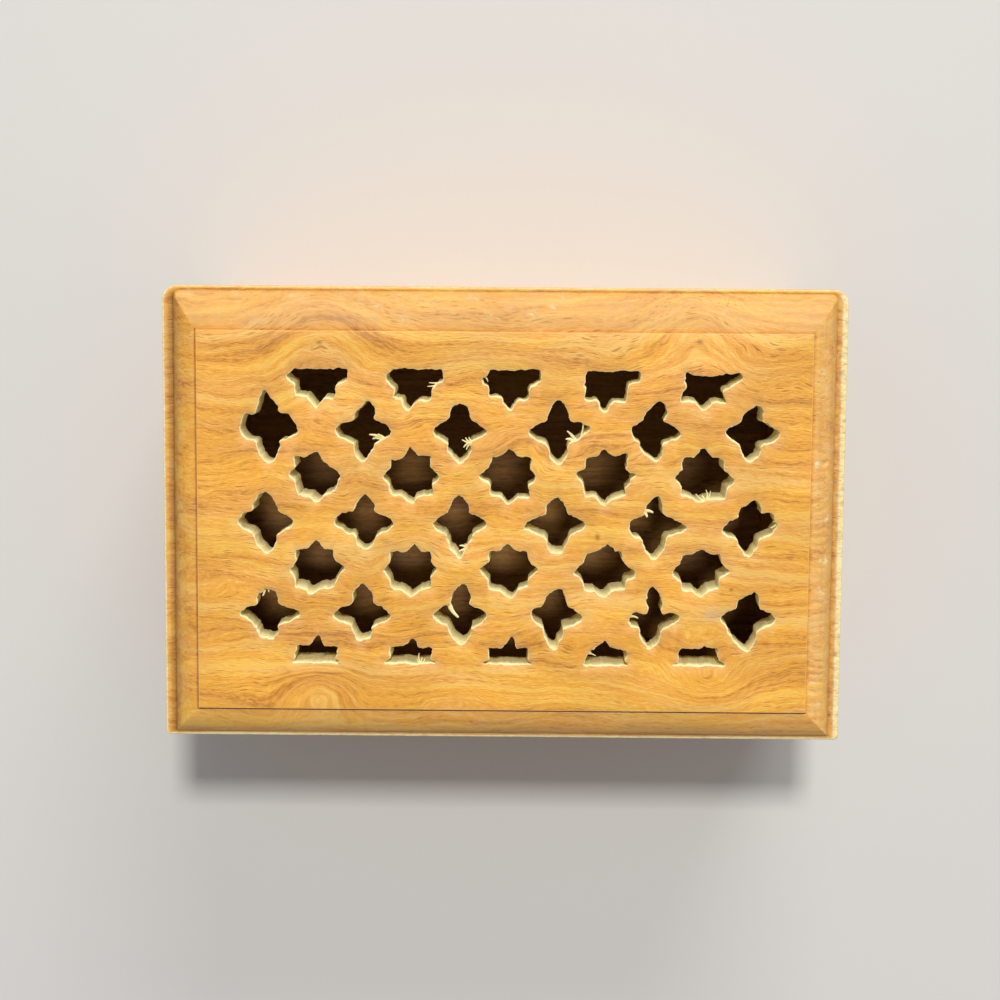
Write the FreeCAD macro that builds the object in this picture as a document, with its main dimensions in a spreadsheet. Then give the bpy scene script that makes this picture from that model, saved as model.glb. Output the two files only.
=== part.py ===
import FreeCAD, Part
import math
import os

import Sketcher
from FreeCAD import Placement, Rotation, Vector

# A wooden trinket box. Its lid is one thick board with a moulded edge and a raised
# panel that is pierced with a lattice of flowers and stars. The lid swings on two
# brass butt hinges under its back overhang. X runs along the box, Y from front to
# back, Z up, and the origin is the middle of the underside.

# Driving dimensions in millimetres
DRIVING = {
    "lid_length": 152.4,
    "lid_depth": 101.6,
    "lid_thickness": 10.0,
    "lid_overhang": 5.0,
    "lid_ease": 0.8,
    "lid_back_corner": 3.2,
    "lid_front_corner": 1.0,
    "rim_height": 5.0,
    "side_rim": 0.9,
    "end_rim": 2.4,
    "quirk_height": 0.9,
    "end_mould": 8.1,
    "back_mould": 9.6,
    "front_mould": 7.2,
    "lattice_pitch_along": 21.4,
    "lattice_pitch_across": 20.9,
    "lattice_end_margin": 13.0,
    "lattice_side_margin": 20.0,
    "lattice_shift_along": 1.1,
    "lattice_shift_across": -0.2,
    "lattice_back_cut": 2.0,
    "lattice_front_cut": -0.8,
    "flower_height": 14.3,
    "flower_width": 12.9,
    "flower_upright_lobe": 4.8,
    "flower_side_lobe": 4.4,
    "flower_waist": 7.0,
    "corner_flower_growth": 1.5,
    "star_width": 12.8,
    "star_diagonal": 12.0,
    "star_notch": 9.6,
    "border_star_growth": 0.8,
    "border_star_shift": 0.9,
    "border_notch_width": 2.5,
    "border_notch_run": 0.1,
    "hand_waver": 0.35,
    "wall_height": 53.3,
    "wall_thickness": 8.0,
    "wall_corner": 1.5,
    "corner_lap": 4.0,
    "seam_gap": 0.2,
    "base_thickness": 4.0,
    "base_rebate": 4.0,
    "base_fit": 0.1,
    "hinge_inset": 30.0,
    "leaf_width": 18.0,
    "leaf_thickness": 0.8,
    "leaf_inset": 1.4,
    "leaf_fit": 0.05,
    "barrel_diameter": 2.5,
    "barrel_gap": 0.15,
    "knuckle_gap": 0.15,
    "notch_clearance": 0.3,
    "pin_diameter": 1.2,
    "pin_clearance": 0.05,
    "screw_pitch": 10.0,
    "screw_length": 6.5,
    "screw_shank": 2.0,
    "screw_head": 3.5,
    "screw_slot": 0.5,
    "screw_slot_depth": 0.35,
    "brad_length": 15.0,
    "brad_shank": 1.2,
    "brad_head": 2.0,
    "brad_head_height": 0.5,
    "brad_margin": 11.0,
    "brad_spacing": 34.0,
    "pilot_clearance": 0.02,
}

# How far the saw strays, as shares of hand_waver
PLACE_STRAY = 0.8
LEAN_STRAY = 1.4
LENGTH_STRAY = 1.1
WIDTH_STRAY = 0.5
TIP_STRAY = 0.8

# A lobe's pointed end in half widths, and the bow of its flanks as a share of their length
LOBE_POINT = 1.5
FLANK_BOW = 0.08

# Turns of the wave that makes each hole and each step of the saw different
HOLE_TURN = 12.9898
STEP_TURN = 78.233
MIXED_TURN = 2.7

# Steps of the wave that set a hole's place along and across the lid
ALONG_STEP = 31
ACROSS_STEP = 37

# The point of a brad and of a screw in half widths of the shank, and the width left at its end
BRAD_POINT = 3
SCREW_POINT = 2
BLUNT_END = 0.25

# Facets round a shoulder of the lattice and round the small fasteners
SHOULDER_FACETS = 7
BRAD_FACETS = 6
SCREW_FACETS = 8

# Places worked out from the driving dimensions
DERIVED = {
    "box_length": "sizes.lid_length - 2 * sizes.lid_overhang",
    "box_depth": "sizes.lid_depth - 2 * sizes.lid_overhang",
    "base_length": "box_length - 2 * (sizes.wall_thickness - sizes.base_rebate + sizes.base_fit)",
    "base_depth": "box_depth - 2 * (sizes.wall_thickness - sizes.base_rebate + sizes.base_fit)",
    "side_wall_length": "box_depth - 2 * (sizes.wall_thickness - sizes.corner_lap)",
    "lid_bottom": "sizes.wall_height + sizes.seam_gap",
    "panel_back": "sizes.lid_depth / 2 - sizes.back_mould",
    "panel_front": "-sizes.lid_depth / 2 + sizes.front_mould",
    "panel_middle": "(panel_back + panel_front) / 2",
    "axis_y": "box_depth / 2 + sizes.barrel_gap + sizes.barrel_diameter / 2",
    "axis_z": "sizes.wall_height + sizes.seam_gap / 2",
    "leaf_reach": "axis_y - box_depth / 2 + sizes.wall_thickness - sizes.leaf_inset",
    "knuckle_length": "(sizes.leaf_width - 2 * sizes.knuckle_gap) / 3",
    "screw_y": "axis_y - (sizes.barrel_diameter / 2 + leaf_reach) / 2",
    "hinge_x": "box_length / 2 - sizes.hinge_inset",
    "brad_inset": "sizes.wall_thickness / 2",
    "base_brad_inset": "sizes.base_rebate / 2",
}

doc = FreeCAD.newDocument("trinket_box")


def make_sheet(name, cells):
    """A sheet with one row for each size: its name, and a cell with that alias."""
    sheet = doc.addObject("Spreadsheet::Sheet", name)
    for row, (alias, content) in enumerate(cells.items(), 1):
        sheet.set(f"A{row}", alias)
        sheet.set(f"B{row}", content)
        sheet.setAlias(f"B{row}", alias)
    doc.recompute()
    return sheet


sizes = make_sheet("sizes", {alias: str(number) for alias, number in DRIVING.items()})
layout = make_sheet("layout", {alias: "=" + formula for alias, formula in DERIVED.items()})


def size(alias):
    """The number in the cell with this alias, for shapes that a formula makes."""
    sheet = sizes if alias in DRIVING else layout
    return float(getattr(sheet, alias))


def bind(item, expressions):
    """Bind an object's properties to expressions of the two sheets."""
    for path, expression in expressions.items():
        item.setExpression(path, expression)
    return item


def at(x="0", y="0", z="0"):
    """Expressions for the place of an object."""
    return {"Placement.Base.x": x, "Placement.Base.y": y, "Placement.Base.z": z}


def block(name, length, depth, height, x, y, z):
    """A box with its middle at x, y and its underside at z."""
    item = doc.addObject("Part::Box", name)
    bind(item, {"Length": length, "Width": depth, "Height": height})
    return bind(item, at(f"{x} - ({length}) / 2", f"{y} - ({depth}) / 2", z))


def rod(name, radius, length, x, y, z):
    """A cylinder along X with its middle at x, y, z."""
    item = doc.addObject("Part::Cylinder", name)
    item.Placement = Placement(Vector(), Rotation(Vector(0, 1, 0), 90))
    bind(item, {"Radius": radius, "Height": length})
    return bind(item, at(f"{x} - ({length}) / 2", y, z))


def fused(name, *pieces):
    item = doc.addObject("Part::MultiFuse", name)
    item.Shapes = list(pieces)
    return item


def common(name, *pieces):
    item = doc.addObject("Part::MultiCommon", name)
    item.Shapes = list(pieces)
    return item


def cut(name, base, *tools):
    """The base with every tool taken away."""
    item = doc.addObject("Part::Cut", name)
    item.Base = base
    item.Tool = tools[0] if len(tools) == 1 else fused(name + "_tools", *tools)
    return item


def formed(name, shape):
    """An object whose shape comes from a formula."""
    item = doc.addObject("Part::Feature", name)
    item.Shape = shape
    item.Placement = Placement()
    return item


# Sketches

def sketch_on(body, role, name):
    sketch = body.newObject("Sketcher::SketchObject", name)
    plane = next(item for item in body.Origin.OriginFeatures if item.Role == role)
    sketch.AttachmentSupport = [(plane, "")]
    sketch.MapMode = "FlatFace"
    return sketch


def dimension(sketch, name, kind, places, expression, start):
    """A named dimension of the sketch, tied to the sheets."""
    index = sketch.addConstraint(Sketcher.Constraint(kind, *places, start))
    sketch.renameConstraint(index, name)
    sketch.setExpression("Constraints." + name, expression)


def padded(body, sketch, length, both_ways):
    pad = body.newObject("PartDesign::Pad", sketch.Name + "_pad")
    pad.Profile = sketch
    pad.SideType = "Symmetric" if both_ways else "One side"
    pad.setExpression("Length", length)
    sketch.Visibility = False


def ovolo(sign, half, mould, fillet):
    """The convex arc of one moulded edge, level where it meets the quirk."""
    rim = size("rim_height")
    run = mould - fillet
    rise = size("lid_thickness") - size("quirk_height") - rim
    radius = (run * run + rise * rise) / (2 * rise)
    centre = Vector(sign * (half - mould), rim + rise - radius)
    foot = math.asin((radius - rise) / radius)
    circle = Part.Circle(centre, Vector(0, 0, 1), radius)
    if sign > 0:
        return Part.ArcOfCircle(circle, foot, math.pi / 2)
    return Part.ArcOfCircle(circle, math.pi / 2, math.pi - foot)


def moulded_section(sketch, width, low_mould, high_mould, rim_width):
    """The lid cut across: underside, two moulded edges and the raised panel."""
    half = size(width) / 2
    ease = size("lid_ease")
    rim = size("rim_height")
    fillet = size(rim_width)
    top = size("lid_thickness")
    quirk = top - size("quirk_height")
    high = half - size(high_mould)
    low = size(low_mould) - half

    def line(start, end):
        sketch.addGeometry(Part.LineSegment(Vector(*start), Vector(*end)))

    line((ease - half, 0), (half - ease, 0))
    line((half - ease, 0), (half, ease))
    line((half, ease), (half, rim))
    line((half, rim), (half - fillet, rim))
    sketch.addGeometry(ovolo(1, half, size(high_mould), fillet))
    line((high, quirk), (high, top))
    line((high, top), (low, top))
    line((low, top), (low, quirk))
    sketch.addGeometry(ovolo(-1, half, size(low_mould), fillet))
    line((fillet - half, rim), (-half, rim))
    line((-half, rim), (-half, ease))
    line((-half, ease), (ease - half, 0))

    edges = sketch.GeometryCount
    low_ease = edges - 1
    for index in range(edges):
        following = (index + 1) % edges
        sketch.addConstraint(Sketcher.Constraint("Coincident", index, 2, following, 1))
    for index in (0, 3, 6, 9):
        sketch.addConstraint(Sketcher.Constraint("Horizontal", index))
    for index in (2, 5, 7, 10):
        sketch.addConstraint(Sketcher.Constraint("Vertical", index))
    sketch.addConstraint(Sketcher.Constraint("Vertical", 4, 3, 4, 2))
    sketch.addConstraint(Sketcher.Constraint("Vertical", 8, 3, 8, 1))
    sketch.addConstraint(Sketcher.Constraint("PointOnObject", 0, 1, -1))

    half_width = f"sizes.{width} / 2"
    dimension(sketch, "high_half", "DistanceX", (-1, 1, 2, 2), half_width, half)
    dimension(sketch, "low_half", "DistanceX", (9, 2, -1, 1), half_width, half)
    dimension(sketch, "high_run", "DistanceX", (5, 2, 2, 2), f"sizes.{high_mould}", half - high)
    dimension(sketch, "low_run", "DistanceX", (9, 2, 7, 1), f"sizes.{low_mould}", half + low)
    dimension(sketch, "high_fillet", "DistanceX", (3, 2, 3, 1), f"sizes.{rim_width}", fillet)
    dimension(sketch, "low_fillet", "DistanceX", (9, 2, 9, 1), f"sizes.{rim_width}", fillet)
    dimension(sketch, "high_rim", "DistanceY", (-1, 1, 2, 2), "sizes.rim_height", rim)
    dimension(sketch, "low_rim", "DistanceY", (-1, 1, 9, 2), "sizes.rim_height", rim)
    dimension(sketch, "thickness", "DistanceY", (-1, 1, 6, 1), "sizes.lid_thickness", top)
    dimension(sketch, "high_quirk", "DistanceY", (5, 1, 5, 2), "sizes.quirk_height", top - quirk)
    dimension(sketch, "low_quirk", "DistanceY", (7, 2, 7, 1), "sizes.quirk_height", top - quirk)
    dimension(sketch, "high_ease_in", "DistanceX", (0, 2, 1, 2), "sizes.lid_ease", ease)
    dimension(sketch, "high_ease_up", "DistanceY", (1, 1, 1, 2), "sizes.lid_ease", ease)
    dimension(sketch, "low_ease_in", "DistanceX", (low_ease, 1, low_ease, 2), "sizes.lid_ease", ease)
    dimension(sketch, "low_ease_up", "DistanceY", (low_ease, 2, low_ease, 1), "sizes.lid_ease", ease)


def moulded_run(name, role, width, low_mould, high_mould, rim_width, length):
    """The lid's section run straight along the board, as a moulding plane leaves it."""
    body = doc.addObject("PartDesign::Body", name)
    sketch = sketch_on(body, role, name + "_section")
    moulded_section(sketch, width, low_mould, high_mould, rim_width)
    padded(body, sketch, length, True)
    return bind(body, at(z="layout.lid_bottom"))


def rounded_outline(sketch, length, depth, front_radius, back_radius):
    """A rectangle round the origin with rounded front and back corners."""
    right = length[1] / 2
    back = depth[1] / 2
    front_round = front_radius[1]
    back_round = back_radius[1]

    def line(start, end):
        sketch.addGeometry(Part.LineSegment(Vector(*start), Vector(*end)))

    def corner(x, y, radius, first):
        circle = Part.Circle(Vector(x, y), Vector(0, 0, 1), radius)
        sketch.addGeometry(Part.ArcOfCircle(circle, first, first + math.pi / 2))

    line((front_round - right, -back), (right - front_round, -back))
    corner(right - front_round, front_round - back, front_round, -math.pi / 2)
    line((right, front_round - back), (right, back - back_round))
    corner(right - back_round, back - back_round, back_round, 0)
    line((right - back_round, back), (back_round - right, back))
    corner(back_round - right, back - back_round, back_round, math.pi / 2)
    line((-right, back - back_round), (-right, front_round - back))
    corner(front_round - right, front_round - back, front_round, math.pi)

    edges = sketch.GeometryCount
    for index in range(edges):
        following = (index + 1) % edges
        sketch.addConstraint(Sketcher.Constraint("Tangent", index, 2, following, 1))
    for index in (0, 4):
        sketch.addConstraint(Sketcher.Constraint("Horizontal", index))
    for index in (2, 6):
        sketch.addConstraint(Sketcher.Constraint("Vertical", index))
    dimension(sketch, "right", "DistanceX", (-1, 1, 2, 1), f"{length[0]} / 2", right)
    dimension(sketch, "left", "DistanceX", (6, 1, -1, 1), f"{length[0]} / 2", right)
    dimension(sketch, "back", "DistanceY", (-1, 1, 4, 1), f"{depth[0]} / 2", back)
    dimension(sketch, "front", "DistanceY", (0, 1, -1, 1), f"{depth[0]} / 2", back)
    for index, name in ((1, "front_right"), (7, "front_left")):
        dimension(sketch, name, "Radius", (index,), front_radius[0], front_round)
    for index, name in ((3, "back_right"), (5, "back_left")):
        dimension(sketch, name, "Radius", (index,), back_radius[0], back_round)


def named(alias):
    """A size as an expression and as the number that a sketch starts from."""
    sheet = "sizes" if alias in DRIVING else "layout"
    return f"{sheet}.{alias}", size(alias)


def rounded_plan(name, length, depth, front_radius, back_radius, height, z):
    """An upright block with rounded corners."""
    body = doc.addObject("PartDesign::Body", name)
    sketch = sketch_on(body, "XY_Plane", name + "_outline")
    rounded_outline(sketch, named(length), named(depth), named(front_radius), named(back_radius))
    padded(body, sketch, height, False)
    return bind(body, at(z=z))


# The lattice. Flowers stand on a grid, with a star in the middle of each four, and
# the stars of the outer rows are cut off by the straight border of the lattice. It
# is sawn by hand, so no two holes are quite alike.

def hand(hole, step):
    """A number from -1 to 1 that is different for each hole and step of the saw."""
    return math.sin(HOLE_TURN * (hole + 1) + STEP_TURN * (step + 1) + MIXED_TURN * hole * step)


def polar(radius, angle):
    return Vector(radius * math.cos(angle), radius * math.sin(angle), 0)


def prism(corners, centre):
    """A closed outline, made into an upright cutter through the lid."""
    face = Part.Face(Part.makePolygon(corners + corners[:1]))
    reach = size("lid_thickness")
    solid = face.extrude(Vector(0, 0, 3 * reach))
    solid.translate(Vector(centre.x, centre.y, size("lid_bottom") - reach))
    return solid


def star_cutter(hole, centre, growth):
    """Eight points with a notch between each pair."""
    waver = size("hand_waver")
    step = 2 * math.pi / 8
    lean = LEAN_STRAY * waver * hand(hole, 0) / size("star_width")
    corners = []
    for index in range(8):
        width = size("star_diagonal" if index % 2 else "star_width") + growth
        tip = width / 2 + LENGTH_STRAY * waver * hand(hole, index + 1)
        notch = size("star_notch") / 2 + WIDTH_STRAY * waver * hand(hole, index + 17)
        stray = TIP_STRAY * waver * hand(hole, index + 9) / tip
        corners.append(polar(tip, index * step + lean + stray))
        corners.append(polar(notch, (index + 0.5) * step + lean))
    return prism(corners, centre)


def flower_cutter(hole, centre, growth):
    """Four pointed lobes, with a round shoulder of wood between each pair."""
    waver = size("hand_waver")
    quarter = math.pi / 2
    lean = LEAN_STRAY * waver * hand(hole, 0) / size("flower_height")
    lobes = []
    for index in range(4):
        upright = index % 2
        length = (size("flower_height" if upright else "flower_width") + growth) / 2
        length += LENGTH_STRAY * waver * hand(hole, index + 1)
        half = size("flower_upright_lobe" if upright else "flower_side_lobe") / 2
        half += WIDTH_STRAY * waver * hand(hole, index + 5)
        out = polar(1, index * quarter + lean)
        side = Vector(-out.y, out.x, 0)
        tip = out * length + side * (TIP_STRAY * waver * hand(hole, index + 9))
        swell = out * (length - LOBE_POINT * half)
        lobes.append((swell - side * half, tip, swell + side * half))
    corners = []
    for index, (right, tip, left) in enumerate(lobes):
        waist = size("flower_waist") / 2 + WIDTH_STRAY * waver * hand(hole, index + 13)
        bump = polar(waist, (index + 0.5) * quarter + lean)
        next_right = lobes[(index + 1) % 4][0]
        shoulder = Part.Arc(left, bump, next_right).toShape().discretize(SHOULDER_FACETS + 1)
        corners += [bowed(right, tip), tip, bowed(tip, left)] + shoulder
    return prism(corners, centre)


def bowed(start, end):
    """A point beside the middle of a lobe's flank, bowed out from the hole."""
    chord = end - start
    return (start + end) / 2 + Vector(chord.y, -chord.x, 0) * FLANK_BOW


def hand_placed(hole, x, y):
    """A hole's place on the grid, a little off as the eye sets it out."""
    stray = PLACE_STRAY * size("hand_waver")
    return Vector(x + stray * hand(hole, ALONG_STEP), y + stray * hand(hole, ACROSS_STEP), 0)


def border_notch(centre, line):
    """The end of the straight cut along the back border, where the saw ran past a star's point."""
    width = size("border_notch_width")
    reach = (size("star_width") + size("border_star_growth")) / 2 + size("border_notch_run")
    height = 3 * size("lid_thickness")
    return Part.makeBox(
        reach, width, height,
        Vector(centre.x, line - width, size("lid_bottom") - size("lid_thickness")))


def lattice_cutters():
    """Every hole of the lattice as an upright cutter."""
    along = size("lattice_pitch_along")
    across = size("lattice_pitch_across")
    panel_length = size("lid_length") - 2 * size("end_mould")
    panel_depth = size("panel_back") - size("panel_front")
    columns = 1 + math.floor((panel_length - 2 * size("lattice_end_margin")) / along)
    rows = 1 + math.floor((panel_depth - 2 * size("lattice_side_margin")) / across)
    first_x = size("lattice_shift_along") - (columns - 1) * along / 2
    first_y = size("panel_middle") + size("lattice_shift_across") - (rows - 1) * across / 2
    shift = size("border_star_shift")
    back_line = first_y + (rows - 0.5) * across + shift + size("lattice_back_cut")
    front_line = first_y - across / 2 - shift - size("lattice_front_cut")
    field = Part.makeBox(
        size("lid_length"), back_line - front_line, 4 * size("lid_thickness"),
        Vector(-size("lid_length") / 2, front_line, size("lid_bottom") - 2 * size("lid_thickness")))
    cutters = []
    for row in range(rows):
        for column in range(columns):
            centre = hand_placed(len(cutters), first_x + column * along, first_y + row * across)
            in_back_corner = row == rows - 1 and column == 0
            growth = size("corner_flower_growth") if in_back_corner else 0
            cutters.append(flower_cutter(len(cutters), centre, growth))
    for row in range(rows + 1):
        for column in range(columns - 1):
            hole = len(cutters)
            x = first_x + (column + 0.5) * along
            y = first_y + (row - 0.5) * across
            if 0 < row < rows:
                cutters.append(star_cutter(hole, hand_placed(hole, x, y), 0))
            else:
                centre = hand_placed(hole, x, y + (shift if row else -shift))
                star = star_cutter(hole, centre, size("border_star_growth")).common(field)
                cutters.append(star.fuse(border_notch(centre, back_line)) if row else star)
    print("lattice:", columns, "columns,", rows, "rows,", len(cutters), "holes")
    return Part.makeCompound(cutters)


# Fasteners

def ring(sides, radius, height):
    """The corners of a regular polygon round Z, with the first one again at the end."""
    corners = [polar(radius, 2 * math.pi * index / sides) for index in range(sides + 1)]
    return [corner + Vector(0, 0, height) for corner in corners]


def turned(sides, outline):
    """A faceted solid round Z through points of radius and height, from the head up."""
    rings = [ring(sides, radius, height) for radius, height in outline]
    faces = [Part.Face(Part.makePolygon(end)) for end in (rings[0][::-1], rings[-1])]
    for low, high in zip(rings, rings[1:]):
        for index in range(sides):
            corners = [low[index], low[index + 1], high[index + 1], high[index], low[index]]
            faces.append(Part.Face(Part.makePolygon(corners)))
    return Part.makeSolid(Part.makeShell(faces))


def brad_shape(extra):
    """A flat-headed brad that points up, its head's outer face at the origin."""
    shank = size("brad_shank") / 2 + extra
    head = size("brad_head") / 2 + extra
    length = size("brad_length") + extra
    return turned(BRAD_FACETS, [
        (head, 0),
        (head, size("brad_head_height")),
        (shank, size("brad_head_height")),
        (shank, length - BRAD_POINT * shank),
        (BLUNT_END * shank, length),
    ])


def screw_shape(extra):
    """A countersunk wood screw that points up, its head's face at the origin."""
    shank = size("screw_shank") / 2 + extra
    head = size("screw_head") / 2 + extra
    length = size("screw_length") + extra
    return turned(SCREW_FACETS, [
        (head, 0),
        (shank, size("leaf_thickness")),
        (shank, length - SCREW_POINT * shank),
        (BLUNT_END * shank, length),
    ])


def slotted_screw():
    """The screw with a driver's slot across its head."""
    width = size("screw_slot")
    length = size("screw_head")
    slot = Part.makeBox(length, width, size("screw_slot_depth"), Vector(-length / 2, -width / 2, 0))
    return screw_shape(0).cut(slot)


def placed(shape, places):
    """A group of separate copies of one fastener."""
    copies = []
    for place in places:
        copy = shape.copy()
        copy.Placement = place
        copies.append(copy)
    return Part.makeCompound(copies)


def screw_places(z, turn):
    """Two screws in each of the two leaves at this height."""
    places = []
    for side in (-1, 1):
        for end in (-1, 1):
            x = side * size("hinge_x") + end * size("screw_pitch") / 2
            places.append(Placement(Vector(x, size("screw_y"), z), turn))
    return places


def corner_brad_places():
    """Two brads in each corner lap, driven through the front and back walls."""
    places = []
    height = size("wall_height")
    margin = size("brad_margin")
    for side in (-1, 1):
        for end in (-1, 1):
            turn = Rotation(Vector(0, 0, 1), Vector(0, -end, 0))
            x = side * (size("box_length") / 2 - size("brad_inset"))
            for z in (margin, height - margin):
                places.append(Placement(Vector(x, end * size("box_depth") / 2, z), turn))
    return places


def spread(length):
    """Places along a side of the base, evenly spaced and clear of its ends."""
    reach = length / 2 - size("brad_margin")
    gaps = max(1, round(2 * reach / size("brad_spacing")))
    return [-reach + 2 * reach * index / gaps for index in range(gaps + 1)]


def base_brad_places():
    """Brads up through the edge of the base into the walls."""
    side_x = size("base_length") / 2 - size("base_brad_inset")
    side_y = size("base_depth") / 2 - size("base_brad_inset")
    upright = Rotation()
    places = []
    for end in (-1, 1):
        for x in spread(size("base_length")):
            places.append(Placement(Vector(x, end * side_y, 0), upright))
        for y in spread(size("base_depth"))[1:-1]:
            places.append(Placement(Vector(end * side_x, y, 0), upright))
    return places


pilot = size("pilot_clearance")
upside_down = Rotation(Vector(1, 0, 0), 180)
wall_screw_places = screw_places(size("wall_height"), upside_down)
lid_screw_places = screw_places(size("lid_bottom"), Rotation())

corner_brads = formed("corner_brads", placed(brad_shape(0), corner_brad_places()))
corner_brad_holes = formed("corner_brad_holes", placed(brad_shape(pilot), corner_brad_places()))
base_brads = formed("base_brads", placed(brad_shape(0), base_brad_places()))
base_brad_holes = formed("base_brad_holes", placed(brad_shape(pilot), base_brad_places()))
wall_hinge_screws = formed("wall_hinge_screws", placed(slotted_screw(), wall_screw_places))
wall_screw_holes = formed("wall_screw_holes", placed(screw_shape(pilot), wall_screw_places))
lid_hinge_screws = formed("lid_hinge_screws", placed(slotted_screw(), lid_screw_places))
lid_screw_holes = formed("lid_screw_holes", placed(screw_shape(pilot), lid_screw_places))


# Hinges

LEAF_Y = "layout.axis_y - layout.leaf_reach / 2"
BARREL = "sizes.barrel_diameter / 2"
KNUCKLE_STEP = "(layout.knuckle_length + sizes.knuckle_gap)"


def knuckles(name, x, radius, extra, steps):
    """One length of barrel for each step along the hinge from its middle."""
    length = f"(layout.knuckle_length + 2 * {extra})"
    items = []
    for step in steps:
        middle = f"{x} + {step} * {KNUCKLE_STEP}"
        item = rod(f"{name}_{len(items)}", radius, length, middle, "layout.axis_y", "layout.axis_z")
        items.append(item)
    return items


def hinge_leaf(name, x, z, own_steps, other_steps, screw_holes):
    """A flat leaf with its knuckles, room for the other leaf's, a bore and countersinks."""
    plate = block(
        name + "_plate", "sizes.leaf_width", "layout.leaf_reach", "sizes.leaf_thickness", x, LEAF_Y, z)
    barrel = knuckles(name + "_knuckle", x, BARREL, "0", own_steps)
    clear_radius = BARREL + " + sizes.notch_clearance"
    clear = knuckles(name + "_clear", x, clear_radius, "sizes.knuckle_gap", other_steps)
    bore_radius = "sizes.pin_diameter / 2 + sizes.pin_clearance"
    bore = rod(name + "_bore", bore_radius, "2 * sizes.leaf_width", x, "layout.axis_y", "layout.axis_z")
    cleared = cut(name + "_cleared_plate", plate, *clear)
    return cut(name, fused(name + "_rolled", cleared, *barrel), bore, screw_holes)


def mortise(name, x, z):
    """The shallow recess that a leaf lies in."""
    width = "(sizes.leaf_width + 2 * sizes.leaf_fit)"
    depth = "(layout.leaf_reach + sizes.leaf_fit)"
    y = f"layout.axis_y - {depth} / 2"
    return block(name, width, depth, "sizes.leaf_thickness", x, y, z)


def barrel_notch(name, x):
    """Room for the barrel in the underside of the lid's overhang."""
    radius = BARREL + " + sizes.notch_clearance"
    length = "(sizes.leaf_width + 2 * sizes.notch_clearance)"
    return rod(name, radius, length, x, "layout.axis_y", "layout.axis_z")


OUTER = (-1, 1)
MIDDLE = (0,)
WALL_LEAF_Z = "sizes.wall_height - sizes.leaf_thickness"
LID_LEAF_Z = "layout.lid_bottom"
HINGE_X = {"left": "-layout.hinge_x", "right": "layout.hinge_x"}
sub_parts = [corner_brads, base_brads, wall_hinge_screws, lid_hinge_screws]
wall_mortises = []
lid_recesses = []
for side, x in HINGE_X.items():
    wall_leaf = hinge_leaf(f"{side}_hinge_wall_leaf", x, WALL_LEAF_Z, OUTER, MIDDLE, wall_screw_holes)
    lid_leaf = hinge_leaf(f"{side}_hinge_lid_leaf", x, LID_LEAF_Z, MIDDLE, OUTER, lid_screw_holes)
    pin = rod(
        f"{side}_hinge_pin", "sizes.pin_diameter / 2", "sizes.leaf_width",
        x, "layout.axis_y", "layout.axis_z")
    sub_parts += [wall_leaf, lid_leaf, pin]
    wall_mortises.append(mortise(f"{side}_wall_mortise", x, WALL_LEAF_Z))
    lid_recesses.append(mortise(f"{side}_lid_mortise", x, LID_LEAF_Z))
    lid_recesses.append(barrel_notch(f"{side}_barrel_notch", x))


# Walls and base

WALL_Y = "(layout.box_depth - sizes.wall_thickness) / 2"
WALL_X = "(layout.box_length - sizes.wall_thickness) / 2"

base_blank = block(
    "base_blank", "layout.base_length", "layout.base_depth", "sizes.base_thickness", "0", "0", "0")
base_room = block(
    "base_room", "(layout.base_length + 2 * sizes.base_fit)", "(layout.base_depth + 2 * sizes.base_fit)",
    "sizes.base_thickness", "0", "0", "0")
sub_parts.append(cut("base_board", base_blank, base_brad_holes))

side_blanks = []
for side, x in (("left", f"-{WALL_X}"), ("right", WALL_X)):
    blank = block(
        f"{side}_wall_blank", "sizes.wall_thickness", "layout.side_wall_length", "sizes.wall_height",
        x, "0", "0")
    side_blanks.append(blank)
    sub_parts.append(cut(f"{side}_wall", blank, base_room, base_brad_holes, corner_brad_holes))

box_plan = rounded_plan(
    "box_plan", "box_length", "box_depth", "wall_corner", "wall_corner", "sizes.wall_height", "0")
hinge_cuts = wall_mortises + [wall_screw_holes]
for side, y, extra_cuts in (("front", f"-{WALL_Y}", []), ("back", WALL_Y, hinge_cuts)):
    plank = block(
        f"{side}_wall_plank", "layout.box_length", "sizes.wall_thickness", "sizes.wall_height", "0", y, "0")
    blank = common(f"{side}_wall_blank", plank, box_plan)
    tools = side_blanks + [base_room, base_brad_holes, corner_brad_holes] + extra_cuts
    sub_parts.append(cut(f"{side}_wall", blank, *tools))


# The lid: the moulding run along the board and again across it meets in mitres

lid_along = moulded_run(
    "lid_along", "YZ_Plane", "lid_depth", "front_mould", "back_mould", "side_rim",
    "sizes.lid_length")
lid_across = moulded_run(
    "lid_across", "XZ_Plane", "lid_length", "end_mould", "end_mould", "end_rim",
    "sizes.lid_depth")
lid_plan = rounded_plan(
    "lid_plan", "lid_length", "lid_depth", "lid_front_corner", "lid_back_corner",
    "sizes.lid_thickness", "layout.lid_bottom")
lid_blank = common("lid_blank", lid_along, lid_across, lid_plan)
lattice = formed("lattice", lattice_cutters())
sub_parts.append(cut("lid_board", lid_blank, lattice, lid_screw_holes, *lid_recesses))

doc.recompute()


# Test every object, then write each sub-part

for item in doc.Objects:
    if "Invalid" in item.State or "Error" in item.State:
        raise RuntimeError(f"{item.Label} failed: {item.State}")

os.makedirs("parts", exist_ok=True)
for item in sub_parts:
    shape = item.Shape
    if shape.isNull() or not shape.isValid() or not shape.Solids:
        raise RuntimeError(f"{item.Label} has no sound shape")
    print(item.Label, len(shape.Solids), "solids", round(shape.Volume, 1), "mm3")
for item in sub_parts:
    item.Shape.exportStep(f"parts/{item.Label}.step")
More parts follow.
